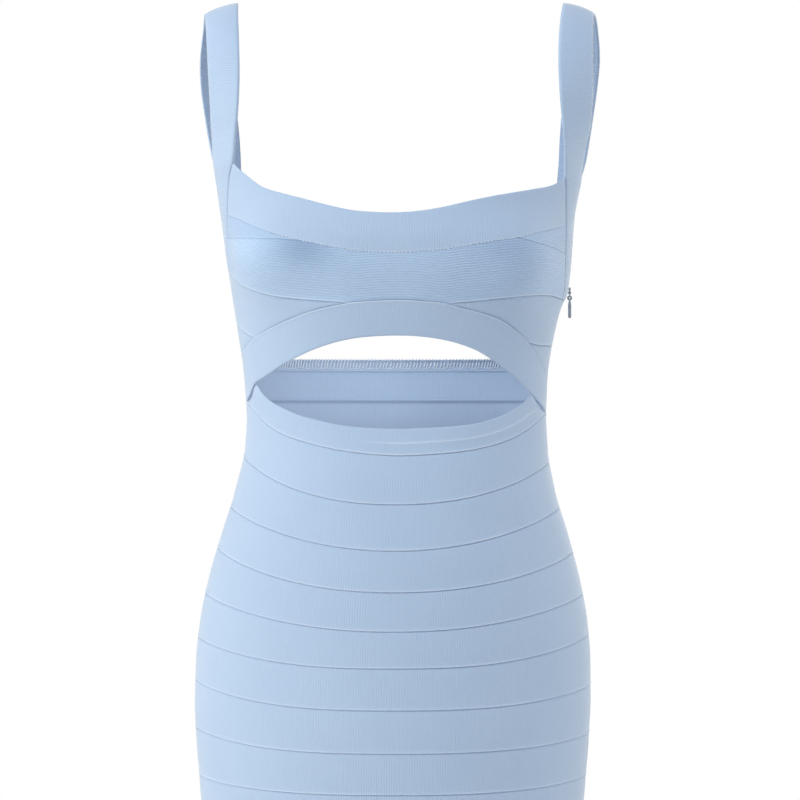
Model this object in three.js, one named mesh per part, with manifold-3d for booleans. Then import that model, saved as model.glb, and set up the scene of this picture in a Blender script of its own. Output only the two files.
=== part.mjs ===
// Sleeveless bodycon dress of banded knit, with a waist cutout and a low open back.
// Millimetres. +Z is up, the front faces -Y and the wearer's left is +X.
// The origin lies midway between the tops of the two shoulder straps.

import * as THREE from 'three';
import { mergeVertices } from 'three/addons/utils/BufferGeometryUtils.js';
import Module from 'manifold-3d';

const wasm = await Module();
wasm.setup();

// Cloth
const clothWall = 1.8;
const seamGap = 0.3;
const seamTuck = 0.8;
const tuckShare = 0.28;
const hemHeight = -889;
const backEdgeHeight = -297;
const strapCells = 4;
const strapBow = 1.2;
const strapFootClearance = 3;
const columnSnap = 0.8;

// Underarm points on the side seams
const underarmLeft = -213;
const underarmRight = -238;

// Zip inside the wearer's left side seam
const zipTop = -241;
const zipEnd = -520;
const zipTapeHalfWidth = 3;
const zipTapeWall = 1;
const zipTapeInset = 3.4;
const zipTapeCells = 10;

// Zip slider and pull, around the hinge pin at the slider's lower end
const pin = new THREE.Vector3(144.2, 0, -241);
const pinRadius = 0.55;
const cheekRadius = 1.25;
const cheekWall = 0.8;
const cheekSpacing = 2;
const cheekStemWidth = 1.2;
const cheekStemWall = 0.7;
const sliderWall = 1.5;
const sliderWidth = 4.6;
const sliderLength = 2.8;
const sliderDrop = 1.7;
const eyeRadius = 1.35;
const eyeHole = 0.88;
const pullWall = 1.3;
const ringDrop = 4.3;
const ringRadius = 2.2;
const ringHole = 0.5;
const neckWidth = 1.1;
const tabShoulder = 9.5;
const tabEnd = 21.5;
const tabTopWidth = 1.3;
const tabWidth = 2.7;
const roundSegments = 20;
const arcCells = 14;

// Soft hills and a hollow on the rings that shape the bust
const hills = [
  { around: -50, z: -218, halfTurn: 15, halfHeight: 30, lift: 11 },
  { around: 43, z: -220, halfTurn: 14, halfHeight: 30, lift: 11 },
  { around: -4, z: -222, halfTurn: 16, halfHeight: 34, lift: -3 },
];

// Form that the dress keeps: half sides, front and back depth of each level ring
const rings = [
  { z: -132.2, left: -160.7, right: 158.6, front: 84, back: 98, fullness: 2.25 },
  { z: -145, left: -157.6, right: 155.4, front: 85, back: 100, fullness: 2.25 },
  { z: -157.8, left: -155, right: 152.2, front: 87, back: 101, fullness: 2.25 },
  { z: -170.5, left: -153.1, right: 149.3, front: 89, back: 102, fullness: 2.25 },
  { z: -183.2, left: -151, right: 147.6, front: 93, back: 102, fullness: 2.25 },
  { z: -196, left: -149.3, right: 146.7, front: 97, back: 101, fullness: 2.25 },
  { z: -208.8, left: -147.7, right: 145.9, front: 98, back: 99, fullness: 2.25 },
  { z: -221.5, left: -145.8, right: 144.8, front: 96, back: 96, fullness: 2.25 },
  { z: -234.2, left: -143.7, right: 143.3, front: 92, back: 93, fullness: 2.25 },
  { z: -243.6, left: -142.3, right: 141.9, front: 88.5, back: 90.5, fullness: 2.2 },
  { z: -250.4, left: -141.3, right: 138.2, front: 86, back: 89, fullness: 2.2 },
  { z: -259.8, left: -139.7, right: 134.9, front: 83, back: 86.5, fullness: 2.2 },
  { z: -272.5, left: -137.9, right: 131.9, front: 79.5, back: 83.5, fullness: 2.2 },
  { z: -285.2, left: -135.9, right: 129.2, front: 76.5, back: 81, fullness: 2.2 },
  { z: -298, left: -133.9, right: 127, front: 74.5, back: 79, fullness: 2.2 },
  { z: -310.8, left: -132.3, right: 125.5, front: 73, back: 77.5, fullness: 2.2 },
  { z: -323.5, left: -131.3, right: 124.7, front: 72, back: 77, fullness: 2.2 },
  { z: -349, left: -130, right: 124.1, front: 72.5, back: 79, fullness: 2.2 },
  { z: -374.5, left: -131.8, right: 125.5, front: 76, back: 85, fullness: 2.15 },
  { z: -387.2, left: -134.2, right: 127.2, front: 78.5, back: 88.5, fullness: 2.15 },
  { z: -412.8, left: -141, right: 132.5, front: 83.5, back: 96, fullness: 2.15 },
  { z: -438.2, left: -149, right: 140.3, front: 88, back: 104, fullness: 2.1 },
  { z: -463.8, left: -157, right: 147.6, front: 92, back: 111.5, fullness: 2.1 },
  { z: -489.2, left: -163.8, right: 153.8, front: 95, back: 118, fullness: 2.1 },
  { z: -514.8, left: -168.9, right: 158.4, front: 97.5, back: 122.5, fullness: 2.1 },
  { z: -540.2, left: -172.2, right: 161, front: 99, back: 125, fullness: 2.1 },
  { z: -578.5, left: -173.9, right: 161.8, front: 100, back: 123.5, fullness: 2.1 },
  { z: -604, left: -173.7, right: 161, front: 99.5, back: 120, fullness: 2.1 },
  { z: -629.5, left: -171.9, right: 159.5, front: 98.5, back: 116, fullness: 2.1 },
  { z: -680.5, left: -167.8, right: 155, front: 96.5, back: 108.5, fullness: 2.1 },
  { z: -723, left: -163.9, right: 150.1, front: 95, back: 104, fullness: 2.1 },
  { z: -774, left: -158.8, right: 144.5, front: 93, back: 99, fullness: 2.1 },
  { z: -825, left: -153.6, right: 138.9, front: 91, back: 95, fullness: 2.1 },
  { z: -888.8, left: -147.2, right: 132.1, front: 88, back: 91, fullness: 2.1 },
];

// Heights of the bodice's seam lines at each angle around from the centre front
const bodiceCut = [
  { around: -90, neckline: -119.5, neckLow: -173.1, bustTop: -194.3, bustLow: -221.5 },
  { around: -84, neckline: -120.1, neckLow: -173.5, bustTop: -194.8, bustLow: -221.9 },
  { around: -78, neckline: -120.7, neckLow: -174.1, bustTop: -195.2, bustLow: -222.6 },
  { around: -71.5, neckline: -122.1, neckLow: -175.6, bustTop: -195.7, bustLow: -226.3 },
  { around: -65.2, neckline: -126.3, neckLow: -177.7, bustTop: -196.2, bustLow: -231.4 },
  { around: -59, neckline: -131.8, neckLow: -180.5, bustTop: -196.7, bustLow: -236.3 },
  { around: -52.5, neckline: -142.6, neckLow: -184.7, bustTop: -197.2, bustLow: -240.8 },
  { around: -45, neckline: -154.3, neckLow: -190.7, bustTop: -198.1, bustLow: -245.3 },
  { around: -37.5, neckline: -160, neckLow: -196.5, bustTop: -198.9, bustLow: -247.7 },
  { around: -30, neckline: -164.9, neckLow: -201.1, bustTop: -201.1, bustLow: -249.2 },
  { around: -22.5, neckline: -170.2, neckLow: -205, bustTop: -205, bustLow: -250.6 },
  { around: -15, neckline: -174.6, neckLow: -208.3, bustTop: -208.3, bustLow: -251.3 },
  { around: -7.5, neckline: -176.5, neckLow: -209.9, bustTop: -209.9, bustLow: -250 },
  { around: 0, neckline: -176.8, neckLow: -210.3, bustTop: -210.3, bustLow: -249.4 },
  { around: 7.5, neckline: -175.3, neckLow: -209.4, bustTop: -209.4, bustLow: -250.2 },
  { around: 15, neckline: -171.8, neckLow: -207.5, bustTop: -207.5, bustLow: -251.9 },
  { around: 22.5, neckline: -167, neckLow: -204.4, bustTop: -204.4, bustLow: -251 },
  { around: 30, neckline: -162.8, neckLow: -201, bustTop: -201, bustLow: -249.1 },
  { around: 38, neckline: -159.1, neckLow: -197.8, bustTop: -197.8, bustLow: -247 },
  { around: 45, neckline: -156.2, neckLow: -193.9, bustTop: -201.2, bustLow: -245.4 },
  { around: 53, neckline: -152.7, neckLow: -190.3, bustTop: -204.2, bustLow: -244.6 },
  { around: 60.8, neckline: -145.4, neckLow: -187.4, bustTop: -206.8, bustLow: -244.8 },
  { around: 66, neckline: -140.5, neckLow: -186, bustTop: -208.2, bustLow: -245.7 },
  { around: 71, neckline: -136.7, neckLow: -184.8, bustTop: -208.9, bustLow: -246.6 },
  { around: 76, neckline: -136.2, neckLow: -183.9, bustTop: -209.2, bustLow: -247.1 },
  { around: 81, neckline: -135.7, neckLow: -183.2, bustTop: -209.2, bustLow: -247.1 },
  { around: 85.5, neckline: -135.2, neckLow: -182.8, bustTop: -209, bustLow: -247 },
  { around: 90, neckline: -134.8, neckLow: -182.4, bustTop: -208.7, bustLow: -246.8 },
];

// Heights of the seam lines over and under the cutout at the same angles
const waistCut = [
  { around: -90, sideLow: -264, archTop: -293.5, archLow: -333.2, waistTop: -333.2, waistLow: -335.6 },
  { around: -84, sideLow: -266, archTop: -293.4, archLow: -333.1, waistTop: -333.1, waistLow: -335.6 },
  { around: -78, sideLow: -268.7, archTop: -290.9, archLow: -331.9, waistTop: -331.9, waistLow: -335.7 },
  { around: -71.5, sideLow: -272.9, archTop: -287.8, archLow: -327.9, waistTop: -327.9, waistLow: -336.6 },
  { around: -65.2, sideLow: -276.9, archTop: -283.9, archLow: -318.7, waistTop: -318.7, waistLow: -342 },
  { around: -59, sideLow: -278.8, archTop: -278.8, archLow: -314.4, waistTop: -326.6, waistLow: -349.1 },
  { around: -52.5, sideLow: -274.8, archTop: -274.8, archLow: -309.7, waistTop: -333.5, waistLow: -355.2 },
  { around: -45, sideLow: -269.5, archTop: -269.5, archLow: -302.8, waistTop: -339.5, waistLow: -361.2 },
  { around: -37.5, sideLow: -263.7, archTop: -263.7, archLow: -296.4, waistTop: -344.9, waistLow: -365.7 },
  { around: -30, sideLow: -258.3, archTop: -258.3, archLow: -290, waistTop: -348.6, waistLow: -369.6 },
  { around: -22.5, sideLow: -254.4, archTop: -254.4, archLow: -284.8, waistTop: -352.1, waistLow: -373 },
  { around: -15, sideLow: -251.3, archTop: -251.3, archLow: -281.2, waistTop: -354.2, waistLow: -375.4 },
  { around: -7.5, sideLow: -250, archTop: -250, archLow: -279.5, waistTop: -355.4, waistLow: -377.1 },
  { around: 0, sideLow: -249.4, archTop: -249.4, archLow: -278.9, waistTop: -355.8, waistLow: -378 },
  { around: 7.5, sideLow: -250.2, archTop: -250.2, archLow: -279.5, waistTop: -355.4, waistLow: -377.7 },
  { around: 15, sideLow: -251.9, archTop: -251.9, archLow: -281.6, waistTop: -354.6, waistLow: -376.6 },
  { around: 22.5, sideLow: -256, archTop: -256, archLow: -285.4, waistTop: -353.4, waistLow: -375.2 },
  { around: 30, sideLow: -260.1, archTop: -260.1, archLow: -291.3, waistTop: -351.6, waistLow: -373 },
  { around: 38, sideLow: -265.7, archTop: -265.7, archLow: -300.4, waistTop: -347.6, waistLow: -369.4 },
  { around: 45, sideLow: -273.4, archTop: -273.4, archLow: -308.9, waistTop: -342.8, waistLow: -365.4 },
  { around: 53, sideLow: -282.7, archTop: -282.7, archLow: -318.7, waistTop: -335.6, waistLow: -359.6 },
  { around: 60.8, sideLow: -285.7, archTop: -293.7, archLow: -327.7, waistTop: -327.7, waistLow: -353.7 },
  { around: 66, sideLow: -285.9, archTop: -300.8, archLow: -333.3, waistTop: -333.3, waistLow: -349.3 },
  { around: 71, sideLow: -286.1, archTop: -306.2, archLow: -337.4, waistTop: -337.4, waistLow: -346 },
  { around: 76, sideLow: -286.2, archTop: -309.9, archLow: -340.2, waistTop: -340.2, waistLow: -344.4 },
  { around: 81, sideLow: -286.3, archTop: -312.3, archLow: -341.8, waistTop: -341.8, waistLow: -344.4 },
  { around: 85.5, sideLow: -286.3, archTop: -313.2, archLow: -342.2, waistTop: -342.2, waistLow: -344.6 },
  { around: 90, sideLow: -286.3, archTop: -313.2, archLow: -342.3, waistTop: -342.3, waistLow: -344.7 },
];

// Skirt seams: height at the centre front and at both side seams, and how late they rise
const skirtSeams = [
  { front: -418.4, left: -379, right: -383.4, bend: 2.25 },
  { front: -456.4, left: -421.6, right: -422, bend: 2.05 },
  { front: -490.5, left: -456.4, right: -460, bend: 2.2 },
  { front: -522.7, left: -495, right: -495.6, bend: 2.2 },
  { front: -553, left: -531.6, right: -529.4, bend: 2.8 },
  { front: -587.4, left: -567.6, right: -571.6, bend: 3 },
  { front: -623, left: -608, right: -612.6, bend: 3.2 },
  { front: -657.2, left: -648.4, right: -648.4, bend: 3.2 },
  { front: -692.5, left: -686, right: -686, bend: 3 },
  { front: -727.5, left: -722.5, right: -722.5, bend: 3 },
  { front: -762.5, left: -758.5, right: -758.5, bend: 3 },
  { front: -797, left: -794, right: -794, bend: 3 },
  { front: -831, left: -829, right: -829, bend: 3 },
];

// Height of the seam between the two highest back strips
const backWaistSeam = -333;

// Edges of the strap that lies on the front of the form, as angles from the centre front
const strapFrontLeft = [
  { z: -133.7, seam: -57.7, armhole: -78 },
  { z: -138.2, seam: -59.5, armhole: -79.3 },
  { z: -142.6, seam: -61.1, armhole: -80.5 },
  { z: -150, seam: -63.3, armhole: -82.3 },
  { z: -157.4, seam: -65.2, armhole: -84 },
  { z: -164.5, seam: -66.7, armhole: -85.8 },
  { z: -171.5, seam: -68, armhole: -87.5 },
  { z: -185.6, seam: -71, armhole: -90 },
  { z: -199.8, seam: -73.9, armhole: -90 },
  { z: -210, seam: -75.7, armhole: -90 },
  { z: -226, seam: -78.4, armhole: -90 },
];
const strapFrontRight = [
  { z: -146, seam: 60.2, armhole: 80.5 },
  { z: -154, seam: 62.1, armhole: 82.8 },
  { z: -161.8, seam: 63.8, armhole: 85 },
  { z: -172.5, seam: 66.1, armhole: 88 },
  { z: -183.3, seam: 67.8, armhole: 90 },
  { z: -195.5, seam: 68.6, armhole: 90 },
  { z: -207.7, seam: 69.1, armhole: 90 },
  { z: -217, seam: 69.7, armhole: 90 },
  { z: -226.5, seam: 70.7, armhole: 90 },
  { z: -236, seam: 72.2, armhole: 90 },
  { z: -241, seam: 73.1, armhole: 90 },
  { z: -250, seam: 74.8, armhole: 90 },
];

// Edges of the strap that lies on the back of the form, as angles from the centre front
const strapBack = [
  { z: -170.5, inner: 119.2, outer: 103 },
  { z: -187, inner: 122, outer: 105.5 },
  { z: -204.5, inner: 124.8, outer: 108 },
  { z: -225, inner: 127.6, outer: 110.4 },
  { z: -247, inner: 130, outer: 112.8 },
  { z: -272, inner: 132.2, outer: 115 },
  { z: -297, inner: 134, outer: 116.8 },
];

// Armhole edge of the side back: how far it has risen from the underarm to its crest at each angle
const wingCrest = -174.5;
const wingEdge = [
  { around: 90, rise: 0 },
  { around: 94, rise: 0.2 },
  { around: 98, rise: 0.48 },
  { around: 101, rise: 0.76 },
  { around: 103.4, rise: 1 },
];
const wingColumns = [{ around: 105 }, { around: 109 }, { around: 113 }];
const wingLevels = [0, 0.12, 0.3, 0.55, 0.78, 1];

// Free stretch of each strap from the neckline over the shoulder: neck edge and arm edge
const strapFreeLeft = [
  { neckX: -138, neckY: -47, neckZ: -108, armX: -159.6, armY: -24, armZ: -108 },
  { neckX: -135.7, neckY: -49, neckZ: -85, armX: -160.3, armY: -30, armZ: -86 },
  { neckX: -134.6, neckY: -46, neckZ: -58, armX: -161.6, armY: -33, armZ: -60 },
  { neckX: -135.2, neckY: -38, neckZ: -31, armX: -162.8, armY: -30, armZ: -36 },
  { neckX: -136.6, neckY: -22, neckZ: -8, armX: -164.4, armY: -19, armZ: -15.5 },
  { neckX: -137.7, neckY: 1, neckZ: 5.9, armX: -166.6, armY: 1, armZ: -4 },
  { neckX: -139.5, neckY: 24, neckZ: -4, armX: -168.6, armY: 21, armZ: -13 },
  { neckX: -142.6, neckY: 43, neckZ: -33, armX: -172.3, armY: 37, armZ: -39 },
  { neckX: -143, neckY: 54, neckZ: -60, armX: -172.2, armY: 46, armZ: -62 },
  { neckX: -141, neckY: 60, neckZ: -86, armX: -169, armY: 49, armZ: -87 },
  { neckX: -139.3, neckY: 62, neckZ: -108, armX: -165.6, armY: 47, armZ: -108 },
  { neckX: -138.4, neckY: 59, neckZ: -131, armX: -160.6, armY: 40, armZ: -131 },
];
const strapFreeRight = [
  { neckX: 138.6, neckY: -46, neckZ: -122, armX: 156.6, armY: -20.5, armZ: -122 },
  { neckX: 136.2, neckY: -48, neckZ: -98, armX: 161.2, armY: -28, armZ: -99 },
  { neckX: 133.8, neckY: -48, neckZ: -72, armX: 162.8, armY: -33, armZ: -73 },
  { neckX: 132.8, neckY: -41, neckZ: -42, armX: 162.6, armY: -32, armZ: -45 },
  { neckX: 135.2, neckY: -24, neckZ: -11, armX: 163.4, armY: -20, armZ: -18 },
  { neckX: 139.2, neckY: 1, neckZ: 5.9, armX: 165.6, armY: 1, armZ: -3 },
  { neckX: 141, neckY: 24, neckZ: -5, armX: 169.4, armY: 21, armZ: -12 },
  { neckX: 141.5, neckY: 43, neckZ: -34, armX: 172.2, armY: 37, armZ: -38 },
  { neckX: 141, neckY: 54, neckZ: -60, armX: 170.8, armY: 46, armZ: -61 },
  { neckX: 140.2, neckY: 60, neckZ: -84, armX: 167.6, armY: 48, armZ: -85 },
  { neckX: 139, neckY: 62, neckZ: -106, armX: 164.4, armY: 46, armZ: -106 },
  { neckX: 138, neckY: 59, neckZ: -130, armX: 159.8, armY: 39, armZ: -130 },
];

// Columns on which the cloth is folded round the form
const frontColumns = bodiceCut.map((row) => row.around);
const backCells = 20;
const backColumns = Array.from({ length: backCells + 1 }, (_, i) => 90 + (180 * i) / backCells);

const knit = { color: 0xa9c2e0, roughness: 0.9, metalness: 0 };
const metal = { color: 0x5b6470, roughness: 0.35, metalness: 1 };

function lerp(a, b, t) {
  return a + (b - a) * t;
}

// Straight line interpolation in a table whose key rises or falls
function look(table, key, value, at) {
  const rising = table[table.length - 1][key] > table[0][key];
  const past = (row) => (rising ? row[key] >= at : row[key] <= at);
  let k = table.findIndex(past);
  if (k === 0) return table[0][value];
  if (k < 0) return table[table.length - 1][value];
  const a = table[k - 1];
  const b = table[k];
  return lerp(a[value], b[value], (at - a[key]) / (b[key] - a[key]));
}

// Rounded interpolation of the ring table, so that the form has no creases
function ringValue(name, z) {
  let k = rings.findIndex((row) => row.z <= z);
  if (k < 0) k = rings.length - 1;
  k = Math.max(k, 1);
  const rows = [rings[Math.max(k - 2, 0)], rings[k - 1], rings[k], rings[Math.min(k + 1, rings.length - 1)]];
  const span = rows[2].z - rows[1].z;
  const t = Math.min(Math.max((z - rows[1].z) / span, 0), 1);
  const slope = (a, b) => (b.z === a.z ? 0 : ((b[name] - a[name]) / (b.z - a.z)) * span);
  const s1 = slope(rows[0], rows[2]);
  const s2 = slope(rows[1], rows[3]);
  const t2 = t * t;
  const t3 = t2 * t;
  return rows[1][name] * (2 * t3 - 3 * t2 + 1) + s1 * (t3 - 2 * t2 + t)
    + rows[2][name] * (3 * t2 - 2 * t3) + s2 * (t3 - t2);
}

// Point on the rings at an angle from the centre front and a height
function ringPoint(around, z) {
  const angle = THREE.MathUtils.degToRad(around);
  const s = Math.sin(angle);
  const c = Math.cos(angle);
  const left = ringValue('left', z);
  const right = ringValue('right', z);
  const depth = ringValue(c >= 0 ? 'front' : 'back', z);
  const n = ringValue('fullness', z);
  const q = (Math.abs(s) ** n + Math.abs(c) ** n) ** (-1 / n);
  return new THREE.Vector3((left + right) / 2 + ((right - left) / 2) * q * s, -depth * q * c, z);
}

// Outward direction of a surface that is given by a function for its points
function outwardOf(pointAt, around, z) {
  const turn = pointAt(around + 0.5, z).sub(pointAt(around - 0.5, z));
  const rise = pointAt(around, z + 1).sub(pointAt(around, z - 1));
  return turn.cross(rise).normalize();
}

// Point of the outer cloth face: the hills are added to the rings level, so heights stay as given
function formPoint(around, z) {
  const lift = hills.reduce((sum, hill) => {
    const turn = (around - hill.around) / hill.halfTurn;
    const rise = (z - hill.z) / hill.halfHeight;
    return sum + hill.lift * Math.exp(-turn * turn - rise * rise);
  }, 0);
  const level = outwardOf(ringPoint, around, z).setZ(0).normalize();
  return ringPoint(around, z).addScaledVector(level, lift);
}

function formNormal(around, z) {
  return outwardOf(formPoint, around, z);
}

// Angle that a length along the ring takes at the given place
function angleOf(length, around, z) {
  const perDegree = formPoint(around + 0.5, z).distanceTo(formPoint(around - 0.5, z));
  return length / perDegree;
}

// Closed shell between an outer and an inner grid of points, whose equal neighbours are one point
function shell(outer, inner) {
  const positions = [];
  const indices = [];
  const number = (grid) => grid.map((row) => {
    const made = [];
    row.forEach((p, i) => {
      if (i > 0 && p.distanceTo(row[i - 1]) < 1e-6) {
        made.push(made[i - 1]);
      } else {
        made.push(positions.length / 3);
        positions.push(p.x, p.y, p.z);
      }
    });
    return made;
  });
  const out = number(outer);
  const back = number(inner);
  const face = (a, b, c) => {
    if (a !== b && b !== c && c !== a) indices.push(a, b, c);
  };
  const quad = (a, b, c, d) => {
    face(a, b, c);
    face(a, c, d);
  };
  const rows = out.length;
  const columns = out[0].length;
  for (let j = 0; j < rows - 1; j += 1) {
    for (let i = 0; i < columns - 1; i += 1) {
      quad(out[j][i], out[j + 1][i], out[j + 1][i + 1], out[j][i + 1]);
      quad(back[j][i], back[j][i + 1], back[j + 1][i + 1], back[j + 1][i]);
    }
    const last = columns - 1;
    quad(out[j][0], back[j][0], back[j + 1][0], out[j + 1][0]);
    quad(out[j][last], out[j + 1][last], back[j + 1][last], back[j][last]);
  }
  for (let i = 0; i < columns - 1; i += 1) {
    const last = rows - 1;
    quad(out[0][i], out[0][i + 1], back[0][i + 1], back[0][i]);
    quad(out[last][i], back[last][i], back[last][i + 1], out[last][i + 1]);
  }
  return closed(positions, indices);
}

// Geometry whose faces all look outward
function closed(positions, indices) {
  const geometry = new THREE.BufferGeometry();
  geometry.setAttribute('position', new THREE.Float32BufferAttribute(positions, 3));
  const corner = (k) => new THREE.Vector3().fromArray(positions, indices[k] * 3);
  let volume = 0;
  for (let k = 0; k < indices.length; k += 3) {
    volume += corner(k).dot(corner(k + 1).cross(corner(k + 2)));
  }
  geometry.setIndex(volume < 0 ? indices.slice().reverse() : indices);
  geometry.computeVertexNormals();
  return geometry;
}

// Piece of cloth on the form between a top and a bottom line and two end lines
function panel({ top, bottom, from, to, columns, levels, tuck = 0, inset = 0, wall = clothWall }) {
  const outer = [];
  const inner = [];
  for (const level of levels) {
    const heightAt = (around) => lerp(top(around), bottom(around), level);
    const first = meeting(from, heightAt);
    const last = meeting(to, heightAt);
    const drop = tuck * Math.max(0, 1 - level / tuckShare) + inset;
    const kept = columns.map((column) => {
      if (column < first + columnSnap) return first;
      return column > last - columnSnap ? last : column;
    });
    const places = [first, ...kept, last].map((around) => {
      const z = heightAt(around);
      return { point: formPoint(around, z), normal: formNormal(around, z) };
    });
    outer.push(places.map(({ point, normal }) => point.clone().addScaledVector(normal, -drop)));
    inner.push(places.map(({ point, normal }) => point.clone().addScaledVector(normal, -drop - wall)));
  }
  return shell(outer, inner);
}

// Angle at which an end line crosses a level of the piece
function meeting(end, heightAt) {
  let around = end(heightAt(0));
  for (let k = 0; k < 12; k += 1) {
    around = end(heightAt(around));
  }
  return around;
}

// Seam line of the bodice tables, moved up or down by the given amount
function line(name, shift = 0) {
  const table = name in bodiceCut[0] ? bodiceCut : waistCut;
  return (around) => look(table, 'around', name, around) + shift;
}

// End line along a side seam, moved round the form by a length
function sideSeam(around, shift) {
  return (z) => around + angleOf(shift, around, z);
}

// End line along the seam between a strap and the bodice
function strapSeam(table, shift) {
  return (z) => {
    const around = look(table, 'z', 'seam', z);
    return around + angleOf(shift, around, z);
  };
}

// Each piece stops half a seam gap from the line that it shares
const up = seamGap / 2;
const down = -seamGap / 2;
const leftStrap = strapSeam(strapFrontLeft, up);
const rightStrap = strapSeam(strapFrontRight, down);
const leftSide = sideSeam(-90, up);
const rightSide = sideSeam(90, down);

// Height of a skirt seam around the dress: it dips towards the centre front and runs straight behind
function seamHeight(seam, around) {
  if (around > 90) return lerp(seam.right, seam.left, (around - 90) / 180);
  const side = around < 0 ? seam.left : seam.right;
  return lerp(seam.front, side, Math.abs(Math.sin(THREE.MathUtils.degToRad(around))) ** seam.bend);
}

function skirtLine(seam, shift) {
  return (around) => seamHeight(seam, around) + shift;
}

// Places across a strap that lies on the form, each with its outward direction
function strapOnForm(from, to, heightAt) {
  return Array.from({ length: strapCells + 1 }, (_, k) => {
    const around = lerp(from, to, k / strapCells);
    const z = heightAt(around);
    return { point: formPoint(around, z), normal: formNormal(around, z) };
  });
}

function neckPoint(row) {
  return new THREE.Vector3(row.neckX, row.neckY, row.neckZ);
}

function armPoint(row) {
  return new THREE.Vector3(row.armX, row.armY, row.armZ);
}

// Points across a free stretch of strap, arched a little outward
function strapFree(rows, k, side) {
  const neck = neckPoint(rows[k]);
  const arm = armPoint(rows[k]);
  const before = neckPoint(rows[Math.max(k - 1, 0)]);
  const after = neckPoint(rows[Math.min(k + 1, rows.length - 1)]);
  const across = arm.clone().sub(neck);
  const outward = after.sub(before).cross(across).multiplyScalar(-side).normalize();
  return Array.from({ length: strapCells + 1 }, (_, cell) => {
    const t = cell / strapCells;
    return { point: neck.clone().lerp(arm, t).addScaledVector(outward, strapBow * 4 * t * (1 - t)) };
  });
}

// Rows halfway between the given ones on a smooth curve through them
function refined(rows, first, last) {
  return rows.flatMap((row, j) => {
    if (j < first || j >= last) return [row];
    const between = row.map(({ point }, i) => {
      const near = point.clone().add(rows[j + 1][i].point);
      const far = rows[j - 1][i].point.clone().add(rows[j + 2][i].point);
      return { point: near.multiplyScalar(9 / 16).addScaledVector(far, -1 / 16) };
    });
    return [row, between];
  });
}

// One strap from the underarm over the shoulder to the low back edge
function strap(side, frontTable, freeTable) {
  const foot = line('bustLow', up);
  const footHeight = foot(frontTable[frontTable.length - 1].seam);
  const levels = frontTable.map((row) => row.z).filter((z) => z > footHeight + strapFootClearance);
  const acrossFront = (z, heightAt) => {
    const seam = look(frontTable, 'z', 'seam', z);
    const armhole = look(frontTable, 'z', 'armhole', z);
    const inset = Math.abs(armhole) < 90 ? 0 : up;
    const edge = armhole - side * angleOf(inset, armhole, z);
    return strapOnForm(seam + side * angleOf(up, seam, z), edge, heightAt);
  };
  const front = [acrossFront(footHeight, foot), ...levels.reverse().map((z) => acrossFront(z, () => z))];
  const free = freeTable.map((row, k) => strapFree(freeTable, k, side));
  const back = strapBack.map((row) => {
    const outer = row.outer + angleOf(up, row.outer, row.z);
    const height = Math.max(row.z, backEdgeHeight + up);
    return strapOnForm(side * row.inner, side * outer, () => height);
  });
  const places = refined([...front, ...free, ...back], front.length - 1, front.length + free.length);
  const outer = places.map((row) => row.map(({ point }) => point));
  const inner = places.map((row, j) => row.map(({ point, normal }, i) => {
    const onward = places[Math.min(j + 1, places.length - 1)][i].point;
    const along = onward.clone().sub(places[Math.max(j - 1, 0)][i].point);
    const across = row[Math.min(i + 1, strapCells)].point.clone().sub(row[Math.max(i - 1, 0)].point);
    const outward = normal ?? along.cross(across).multiplyScalar(-side).normalize();
    return point.clone().addScaledVector(outward, -clothWall);
  }));
  return shell(outer, inner);
}

// Side back between the armhole, the strap and the low back edge
function wing(side, underarm) {
  const edge = wingEdge.map(({ around, rise }) => ({ around, z: lerp(underarm, wingCrest, rise) }));
  const strapEdge = (z) => {
    const around = look(strapBack, 'z', 'outer', z);
    return around + angleOf(down, around, z);
  };
  const columns = [...edge.slice(1, -1), ...wingColumns].map(({ around }) => side * around);
  return panel({
    top: (around) => look(edge, 'around', 'z', Math.abs(around)),
    bottom: () => backEdgeHeight + up,
    from: side > 0 ? sideSeam(90, up) : (z) => -strapEdge(z),
    to: side > 0 ? strapEdge : sideSeam(-90, down),
    columns: side > 0 ? columns : columns.reverse(),
    levels: wingLevels,
  });
}

function addMesh(group, name, geometry, finish, place = new THREE.Vector3()) {
  const mesh = new THREE.Mesh(geometry, new THREE.MeshStandardMaterial(finish));
  mesh.name = name;
  mesh.position.copy(place);
  group.add(mesh);
}

const dress = new THREE.Group();
dress.name = 'bodycon_dress';

// Levels of a piece, from its top edge to its bottom edge
const fewLevels = [0, tuckShare, 1];
const evenLevels = [0, 0.5, 1];
const manyLevels = [0, tuckShare, 0.52, 0.76, 1];

// Bodice front: the line above and below each piece and its two ends, some of them a point
const tip = (around) => () => around;
const acrossBust = [leftStrap, rightStrap];
const allFront = [leftSide, rightSide];
const bodicePieces = [
  { name: 'neck_band', over: 'neckline', under: 'neckLow', ends: acrossBust, levels: manyLevels, tuck: 0 },
  { name: 'wedge_left', over: 'neckLow', under: 'bustTop', ends: [leftStrap, tip(-33.4)] },
  { name: 'wedge_right', over: 'neckLow', under: 'bustTop', ends: [tip(39), rightStrap] },
  { name: 'bust_strip', over: 'bustTop', under: 'bustLow', ends: acrossBust, levels: manyLevels },
  { name: 'side_left_upper', over: 'bustLow', under: 'sideLow', ends: [leftSide, tip(-17)] },
  { name: 'side_left_lower', over: 'sideLow', under: 'archTop', ends: [leftSide, tip(-60)] },
  { name: 'side_right_upper', over: 'bustLow', under: 'sideLow', ends: [tip(16.6), rightSide] },
  { name: 'side_right_lower', over: 'sideLow', under: 'archTop', ends: [tip(54), rightSide] },
  { name: 'arch_band', over: 'archTop', under: 'archLow', ends: allFront, levels: evenLevels, tuck: 0 },
  { name: 'waist_band', over: 'waistTop', under: 'waistLow', ends: allFront, levels: evenLevels, tuck: 0 },
];
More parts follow.
